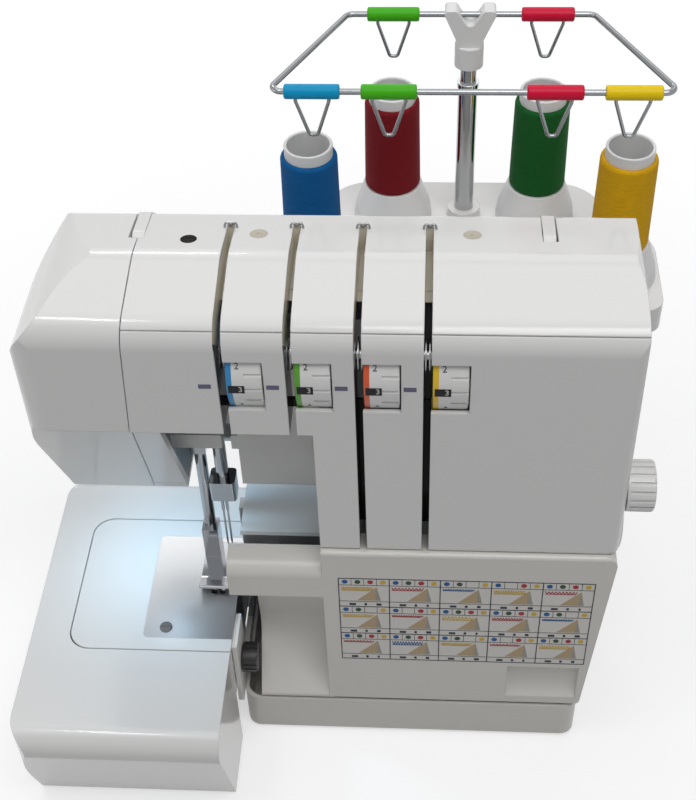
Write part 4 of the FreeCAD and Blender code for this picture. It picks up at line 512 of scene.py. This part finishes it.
def area_light(name, place, target, size, power, colour=(1, 1, 1)):
    data = bpy.data.lights.new(name, "AREA")
    data.shape = "RECTANGLE"
    data.size, data.size_y = size
    data.energy = power
    data.color = colour
    lamp = bpy.data.objects.new(name, data)
    lamp.location = place
    aim = Vector(target) - Vector(place)
    lamp.rotation_euler = aim.to_track_quat("-Z", "Y").to_euler()
    scene.collection.objects.link(lamp)
    return lamp


GLOW_DROP = 0.5 * MM
GLOW_AIM = Vector((45 * MM, -12 * MM, -70 * MM))
GLOW_SIZE = (16 * MM, 18 * MM)
GLOW_POWER = 0.085
GLOW_COLOUR = (0.42, 0.74, 1.0)


def make_lamp_glow():
    """Light that the machine's own lamp throws on the bed, from just under its lens."""
    low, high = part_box("lamp_lens")
    middle = (low + high) / 2
    place = Vector((middle.x, middle.y, low.z - GLOW_DROP))
    glow = area_light("lamp_glow", place, place + GLOW_AIM, GLOW_SIZE, GLOW_POWER, GLOW_COLOUR)
    glow.visible_glossy = False


# Pieces added to the frame


def new_piece(name, mesh, look, body):
    piece = bpy.data.objects.new(name, mesh)
    scene.collection.objects.link(piece)
    mesh.materials.append(look.material)
    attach(piece, body)
    return piece


def lathe(name, profile, centre, steps, wave=None):
    """Closed surface of a (radius, height) loop turned about Z; wave tells how far a point moves out."""
    points, faces = [], []
    for step in range(steps):
        angle = math.tau * step / steps
        for radius, height in profile:
            out = radius + (wave(angle, radius, height) if wave else 0.0)
            x, y = centre[0] + out * math.cos(angle), centre[1] + out * math.sin(angle)
            points.append((x, y, centre[2] + height))
    row = len(profile)
    for step in range(steps):
        here, there = step * row, (step + 1) % steps * row
        for i in range(row):
            j = (i + 1) % row
            faces.append((here + i, there + i, there + j, here + j))
    mesh = bpy.data.meshes.new(name)
    mesh.from_pydata(points, [], faces)
    mesh.polygons.foreach_set("use_smooth", [True] * len(mesh.polygons))
    mesh.update()
    return mesh


# Wound thread: its foot's radius, its taper, its rounded shoulders and its ridges
TUBE_RADIUS = 12.55 * MM
WIND_RADIUS = 15.3 * MM
WIND_TAPER = 0.7 * MM
SHOULDER_TALL, SHOULDER_PULL = 2.2 * MM, 1.1 * MM
WIND_PITCH = 0.9 * MM
WIND_HEIGHT = 0.16 * MM
WIND_TURNS = 5
ROWS_PER_RIDGE = 3
WIND_STEPS = 144


def ridges(angle, radius, height):
    """Relief of thread that crosses the cone both ways; the bore stays plain."""
    if radius <= TUBE_RADIUS:
        return 0.0
    turns = WIND_TURNS * (angle / math.tau)
    rise = height / WIND_PITCH
    first = abs((rise + turns) % 1 - 0.5) * 2
    second = abs((rise - turns) % 1 - 0.5) * 2
    return WIND_HEIGHT * (max(first, second) - 0.5)


def wind_thread(colour):
    """Wound thread in place of the plain sleeve."""
    node = f"thread_{colour}"
    low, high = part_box(node)
    centre = ((low.x + high.x) / 2, (low.y + high.y) / 2, low.z)
    height = high.z - low.z
    rows = int(height / (WIND_PITCH / ROWS_PER_RIDGE))
    outside = []
    for row in range(rows + 1):
        rise = row / rows
        shoulder = min(rise, 1 - rise) * height
        pull = SHOULDER_PULL * max(0.0, 1 - shoulder / SHOULDER_TALL) ** 2
        outside.append((WIND_RADIUS - WIND_TAPER * rise - pull, rise * height))
    profile = [(TUBE_RADIUS, 0.0), *outside, (TUBE_RADIUS, height)]
    mesh = lathe(f"wound_{colour}", profile, centre, WIND_STEPS, ridges)
    look = thread_look(f"yarn_{colour}", THREAD_COLOURS[colour])
    piece = new_piece(f"wound_{colour}", mesh, look, "machine")
    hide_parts(node)


def plate_mesh(name, shapes, face_y, thick):
    """Thin printed shapes, each a list of (x, z) corners, standing out of a front face."""
    work = bmesh.new()
    for shape in shapes:
        back = [work.verts.new((x, face_y, z)) for x, z in shape]
        front = [work.verts.new((x, face_y - thick, z)) for x, z in shape]
        count = len(shape)
        work.faces.new(front)
        work.faces.new(back[::-1])
        for i in range(count):
            j = (i + 1) % count
            work.faces.new((front[j], front[i], back[i], back[j]))
    bmesh.ops.recalc_face_normals(work, faces=work.faces)
    mesh = bpy.data.meshes.new(name)
    work.to_mesh(mesh)
    work.free()
    return mesh


DISC_STEPS = 20


def bar(x0, x1, z0, z1):
    return [(x0, z0), (x1, z0), (x1, z1), (x0, z1)]


def disc(x, z, radius):
    angles = [math.tau * i / DISC_STEPS for i in range(DISC_STEPS)]
    return [(x + radius * math.cos(angle), z + radius * math.sin(angle)) for angle in angles]


def stroke(points, width):
    """Bars along a zigzag line."""
    bars = []
    for (x0, z0), (x1, z1) in zip(points, points[1:]):
        length = math.hypot(x1 - x0, z1 - z0)
        nx, nz = -(z1 - z0) / length * width / 2, (x1 - x0) / length * width / 2
        bars.append([(x0 + nx, z0 + nz), (x0 - nx, z0 - nz), (x1 - nx, z1 - nz), (x1 + nx, z1 + nz)])
    return bars


# Thickness of print, and of the coloured print that lies over other print
INK = 0.12 * MM
OVERPRINT = 1.3 * INK

# Stitch chart: its place, its cells, and what a cell holds at shares of the cell's width and height
CHART_LEFT, CHART_RIGHT = 2 * MM, 134 * MM
CHART_LOW, CHART_HIGH = 73 * MM, 144 * MM
CHART_COLUMNS, CHART_ROWS = 5, 3
CELL_WIDE = (CHART_RIGHT - CHART_LEFT) / CHART_COLUMNS
CELL_TALL = (CHART_HIGH - CHART_LOW) / CHART_ROWS
CELL_HEAD, CELL_FOOT = 0.77, 0.19
RULE, FINE_RULE = 0.5 * MM, 0.25 * MM
SPOTS = 4
SPOT_RADIUS = 1.5 * MM
CLOTH_LEFT, CLOTH_CREASE, CLOTH_PEAK, CLOTH_RIGHT = 0.36, 0.72, 0.75, 0.83
CLOTH_LOW, CLOTH_HIGH = CELL_FOOT + 0.04, CELL_HEAD - 0.06
STITCH_LEFT, STITCH_RUN, HEM_SHARE = 0.05, 0.62, 0.92
STITCH_WIDTH, HEM_WIDTH = 0.4 * MM, 0.35 * MM
STITCH_INKS = ("red", "blue", "yellow", "red", "yellow")
STITCH_COUNTS = (18, 22, 26)
STITCH_RISES = (1.4 * MM, 2.2 * MM, 3.0 * MM)
FOOT_BAR_LOW = 0.05
# Bars at the foot of a cell: left, right, what some cells add to the right, and the height
FOOT_BARS = ((0.2, 0.33, 0.0, 1.6 * MM), (0.5, 0.55, 0.0, 1.8 * MM), (0.74, 0.78, 0.03, 1.8 * MM))
INK_COLOURS = {
    "blue": (0.03, 0.13, 0.36),
    "green": (0.04, 0.09, 0.05),
    "red": (0.45, 0.05, 0.06),
    "yellow": (0.72, 0.5, 0.08),
}
INK_FRAME = (0.03, 0.035, 0.05)
INK_CLOTH = (0.55, 0.42, 0.26)
INK_FOLD = (0.4, 0.38, 0.34)


def upright_rule(x, width, low, high):
    return bar(x - width / 2, x + width / 2, low, high)


def level_rule(z, width):
    return bar(CHART_LEFT, CHART_RIGHT, z - width / 2, z + width / 2)


def chart_rules():
    """Ruled lines of the chart: a frame, its cells, and a strip at the head and the foot of each row."""
    lines = []
    for i in range(CHART_COLUMNS + 1):
        lines.append(upright_rule(CHART_LEFT + CELL_WIDE * i, RULE, CHART_LOW, CHART_HIGH))
    for j in range(CHART_ROWS + 1):
        lines.append(level_rule(CHART_LOW + CELL_TALL * j, RULE))
    for j in range(CHART_ROWS):
        z = CHART_LOW + CELL_TALL * j
        for share in (CELL_HEAD, CELL_FOOT):
            lines.append(level_rule(z + CELL_TALL * share, FINE_RULE))
        for k in range(SPOTS * CHART_COLUMNS):
            x = CHART_LEFT + CELL_WIDE / SPOTS * k
            lines.append(upright_rule(x, FINE_RULE, z + CELL_TALL * CELL_HEAD, z + CELL_TALL))
    return lines


def draw_cell(i, j, lines, cloth, fold, inks):
    """Adds a cell's coloured spots, folded cloth, row of stitches and foot bars to the lists of shapes."""
    x, z = CHART_LEFT + CELL_WIDE * i, CHART_LOW + CELL_TALL * j
    kind = (i + j) % 3
    for k, spots in enumerate(inks.values()):
        if (i + 2 * j + k) % SPOTS or not k % 3:
            spot_x, spot_z = x + CELL_WIDE * (k + 0.5) / SPOTS, z + CELL_TALL * (CELL_HEAD + 1) / 2
            spots.append(disc(spot_x, spot_z, SPOT_RADIUS))
    low, high = z + CELL_TALL * CLOTH_LOW, z + CELL_TALL * CLOTH_HIGH
    left, crease, right = ((x + CELL_WIDE * share, low) for share in (CLOTH_LEFT, CLOTH_CREASE, CLOTH_RIGHT))
    peak = (x + CELL_WIDE * CLOTH_PEAK, high)
    cloth.append([left, crease, peak])
    fold.append([crease, right, peak])
    ink = inks[STITCH_INKS[(i + 2 * j) % len(STITCH_INKS)]]
    count = STITCH_COUNTS[kind]
    hem = high - STITCH_RISES[(2 * i + j) % 3]
    start, run = x + CELL_WIDE * STITCH_LEFT, CELL_WIDE * STITCH_RUN
    zigzag = [(start + run * n / count, hem if n % 2 else high) for n in range(count + 1)]
    ink.extend(stroke(zigzag, STITCH_WIDTH))
    ink.extend(stroke([(start, hem), (start + run * HEM_SHARE, hem)], HEM_WIDTH))
    foot = z + CELL_TALL * FOOT_BAR_LOW
    for start, end, more, tall in FOOT_BARS:
        lines.append(bar(x + CELL_WIDE * start, x + CELL_WIDE * (end + more * kind), foot, foot + tall))


def make_chart():
    """Generic stitch chart on the looper cover."""
    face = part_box("looper_cover")[0].y
    lines, cloth, fold = chart_rules(), [], []
    inks = {name: [] for name in INK_COLOURS}
    for i in range(CHART_COLUMNS):
        for j in range(CHART_ROWS):
            draw_cell(i, j, lines, cloth, fold, inks)
    prints = [("lines", "frame", lines, INK, INK_FRAME), ("cloth", "cloth", cloth, INK, INK_CLOTH),
              ("fold", "fold", fold, INK, INK_FOLD)]
    prints += [(name, name, shapes, OVERPRINT, INK_COLOURS[name]) for name, shapes in inks.items()]
    for name, ink, shapes, thick, colour in prints:
        mesh = plate_mesh(f"chart_{name}", shapes, face, thick)
        new_piece(f"chart_{name}", mesh, print_look(f"ink_{ink}", colour), "looper_cover")


def curve_mesh(data):
    """Mesh of a curve or a text, which is then removed."""
    holder = bpy.data.objects.new(data.name, data)
    scene.collection.objects.link(holder)
    bpy.context.view_layer.update()
    mesh = bpy.data.meshes.new_from_object(holder.evaluated_get(bpy.context.evaluated_depsgraph_get()))
    bpy.data.objects.remove(holder)
    bpy.data.curves.remove(data)
    return mesh


TEXT_STEPS = 3


def text_mesh(name, words, size):
    """Flat mesh of a short text in XY, centred on the origin."""
    data = bpy.data.curves.new(name, "FONT")
    data.body = words
    data.size = size
    data.align_x, data.align_y = "CENTER", "CENTER"
    data.extrude = INK
    data.resolution_u = TEXT_STEPS
    return curve_mesh(data)


WIRE_ROUNDNESS = 3
WIRE_ORDER = 3


def wire_mesh(name, paths, radius):
    """Round wire along smooth paths."""
    data = bpy.data.curves.new(name, "CURVE")
    data.dimensions = "3D"
    data.bevel_depth = radius
    data.bevel_resolution = WIRE_ROUNDNESS
    data.use_fill_caps = True
    for path in paths:
        spline = data.splines.new("NURBS")
        spline.points.add(len(path) - 1)
        for point, place in zip(spline.points, path):
            point.co = (*place, 1)
        spline.order_u = WIRE_ORDER
        spline.use_endpoint_u = True
    return curve_mesh(data)


def flat_patch(name, lower, upper, cuts):
    """Thin slab in XY between two edges, each (left, right, y), cut into rows so that it can bend."""
    points, faces = [], []
    for k in range(cuts + 1):
        share = k / cuts
        left, right, y = (start + (end - start) * share for start, end in zip(lower, upper))
        for x in (left, right):
            points += [(x, y, -INK), (x, y, INK / 2)]
    for k in range(cuts):
        a, b = 4 * k, 4 * (k + 1)
        faces += [(a + 1, a + 3, b + 3, b + 1), (a, b, b + 2, a + 2)]
        faces += [(a, a + 1, b + 1, b), (a + 2, b + 2, b + 3, a + 3)]
    last = 4 * cuts
    faces += [(0, 2, 3, 1), (last, last + 1, last + 3, last + 2)]
    mesh = bpy.data.meshes.new(name)
    mesh.from_pydata(points, [], faces)
    return mesh


def wrap_on_drum(mesh, x, axis_y, axis_z, radius, angle):
    """Lays a flat mesh on a drum that turns about X, at an angle up from the front."""
    for vertex in mesh.vertices:
        out = radius + vertex.co.z
        turn = angle + vertex.co.y / radius
        vertex.co = (x + vertex.co.x, axis_y - out * math.cos(turn), axis_z + out * math.sin(turn))
    mesh.update()


def joined(name, meshes):
    work = bmesh.new()
    for mesh in meshes:
        work.from_mesh(mesh)
    whole = bpy.data.meshes.new(name)
    work.to_mesh(whole)
    work.free()
    return whole


# Print on the drums: the step between settings, each setting's figure, and places from a drum's left rim
DIAL_STEP = math.radians(28)
DIAL_LABELS = {-5: "7", -4: "6", -3: "5", -2: "4", 0: "3", 1: "2", 2: "1", 3: "0"}
DIGIT_SIZE = 4.4 * MM
DIGIT_X, MIDDLE_X, POINTER_X = 5.2 * MM, 6.4 * MM, 6 * MM
PATCH_LOWER, PATCH_UPPER = (0.9 * MM, 8.3 * MM, -2.3 * MM), (0.9 * MM, 8.3 * MM, 2.3 * MM)
PATCH_CUTS = 6
POINTER_LOWER, POINTER_UPPER = (-1 * MM, 1 * MM, -1 * MM), (-0.05 * MM, 0.05 * MM, 1 * MM)
POINTER_CUTS = 3
DIAL_INK, DIAL_PALE = (0.015, 0.015, 0.017), (0.75, 0.75, 0.75)


def make_dial_numbers():
    """Numbers round each tension drum; the middle setting stands on a dark patch, with a pointer under it."""
    for colour in DIALS:
        low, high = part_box(f"tension_dial_{colour}")
        drum = (low.y + high.y) / 2, (low.z + high.z) / 2, (high.z - low.z) / 2
        dark, pale = [], []
        for place, words in DIAL_LABELS.items():
            mesh = text_mesh(f"digit_{colour}_{place}", words, DIGIT_SIZE)
            shift = DIGIT_X if place else MIDDLE_X
            wrap_on_drum(mesh, low.x + shift, *drum, DIAL_STEP * place)
            (dark if place else pale).append(mesh)
        patch = flat_patch("patch", PATCH_LOWER, PATCH_UPPER, PATCH_CUTS)
        wrap_on_drum(patch, low.x, *drum, 0.0)
        pointer = flat_patch("pointer", POINTER_LOWER, POINTER_UPPER, POINTER_CUTS)
        wrap_on_drum(pointer, low.x + POINTER_X, *drum, -DIAL_STEP)
        body = f"dial_{colour}"
        new_piece(f"numbers_{colour}", joined(f"numbers_{colour}", [*dark, patch, pointer]),
                  print_look(f"dial_ink_{colour}", DIAL_INK), body)
        new_piece(f"middle_{colour}", joined(f"middle_{colour}", pale),
                  print_look(f"dial_pale_{colour}", DIAL_PALE), body)


MARK_LEFT, MARK_RIGHT = -10.6 * MM, -4.8 * MM
MARK_LOW, MARK_HIGH = 276.7 * MM, 279.3 * MM
MARK_INK = (0.17, 0.16, 0.26)


def make_index_marks():
    """Short line on the panel beside each window, level with the drum's axis."""
    shapes = [bar(x + MARK_LEFT, x + MARK_RIGHT, MARK_LOW, MARK_HIGH) for x in SLOTS]
    new_piece("index_marks", plate_mesh("index_marks", shapes, FRONT, INK),
              print_look("index_ink", MARK_INK), "machine")


# Plugs on the top: X, depth and radius of each, and a section from axis to rim in (radius, height)
PLUGS = {
    "thread_eye": (-64.8 * MM, 56.7, 3.9 * MM),
    "plug_left": (-32.8 * MM, 62.3, 4.3 * MM),
    "plug_right": (66 * MM, 63.1, 4.3 * MM),
}
PLUG_AXIS = 0.01 * MM
PLUG_ROOT, PLUG_SHOULDER, PLUG_CROWN = -1.2 * MM, 0.08 * MM, 0.1 * MM
# Points of the rim: how far in from the edge, and the height
PLUG_RIM = (
    (0.0, PLUG_ROOT),
    (0.0, 0.04 * MM),
    (0.15 * MM, 0.16 * MM),
    (0.6 * MM, 0.16 * MM),
    (0.75 * MM, 0.05 * MM),
)
PLUG_STEPS = 48
EYE_SPECULAR = 0.05


def top_plug(name, look):
    """Small round plug let into the sloping top: a low crowned disc inside a thin rim."""
    x, back, radius = PLUGS[name]
    rim = [(radius - inset, height) for inset, height in PLUG_RIM]
    profile = [(PLUG_AXIS, PLUG_ROOT), *rim, (radius / 2, PLUG_SHOULDER), (PLUG_AXIS, PLUG_CROWN)]
    mesh = lathe(name, profile, (0, 0, 0), PLUG_STEPS)
    place = Vector((x, depth(back), top_z(back)))
    mesh.transform(Matrix.Translation(place) @ Matrix.Rotation(-TOP_SLOPE, 4, "X"))
    new_piece(name, mesh, look, "machine")


def make_top_plugs():
    beige = plastic("plug_beige", PLUG_BEIGE, roughness=0.45, grain=0.1, edge=0.2 * MM)
    # The thread eye is a hole in the top, shown as a dark disc that is painted shade of its inside
    shade = plastic("eye_painted_shade", EYE_PAINTED_SHADE, roughness=0.6, grain=0.1, edge=0.2 * MM)
    shade.feed("Specular IOR Level", EYE_SPECULAR)
    top_plug("thread_eye", shade)
    top_plug("plug_left", beige)
    top_plug("plug_right", beige)


# Bent wire at the rear ends of the slots; its path is (side, rise) from the middle of a slot, in millimetres
HOOK_DEPTH = 68.2
HOOK_PATH = (
    (-3, -1.2), (-3, 1.5), (-2.2, 2.9), (-0.9, 2.6), (0, 1.0), (0.9, 2.6), (2.2, 2.9), (3, 1.5), (3, -1.2),
)
HOOK_RADIUS = 0.5 * MM


def make_slot_hooks():
    """Bent wire over the rear end of each thread slot, dipped in its middle to hold the thread."""
    y, foot = depth(HOOK_DEPTH), top_z(HOOK_DEPTH)
    paths = [[(x + side * MM, y, foot + rise * MM) for side, rise in HOOK_PATH] for x in SLOTS]
    new_piece("slot_hooks", wire_mesh("slot_hooks", paths, HOOK_RADIUS),
              metal("hook_chrome", HOOK_CHROME, roughness=0.14, grain=0.02), "machine")


make_camera()
make_world()
make_floor()
for lamp_name, lamp_setting in LAMPS.items():
    area_light(lamp_name, *lamp_setting)
make_lamp_glow()

dress_all()
for thread_colour in THREAD_COLOURS:
    wind_thread(thread_colour)
make_chart()
make_dial_numbers()
make_index_marks()
make_top_plugs()
make_slot_hooks()

scene.view_settings.view_transform = "Standard"
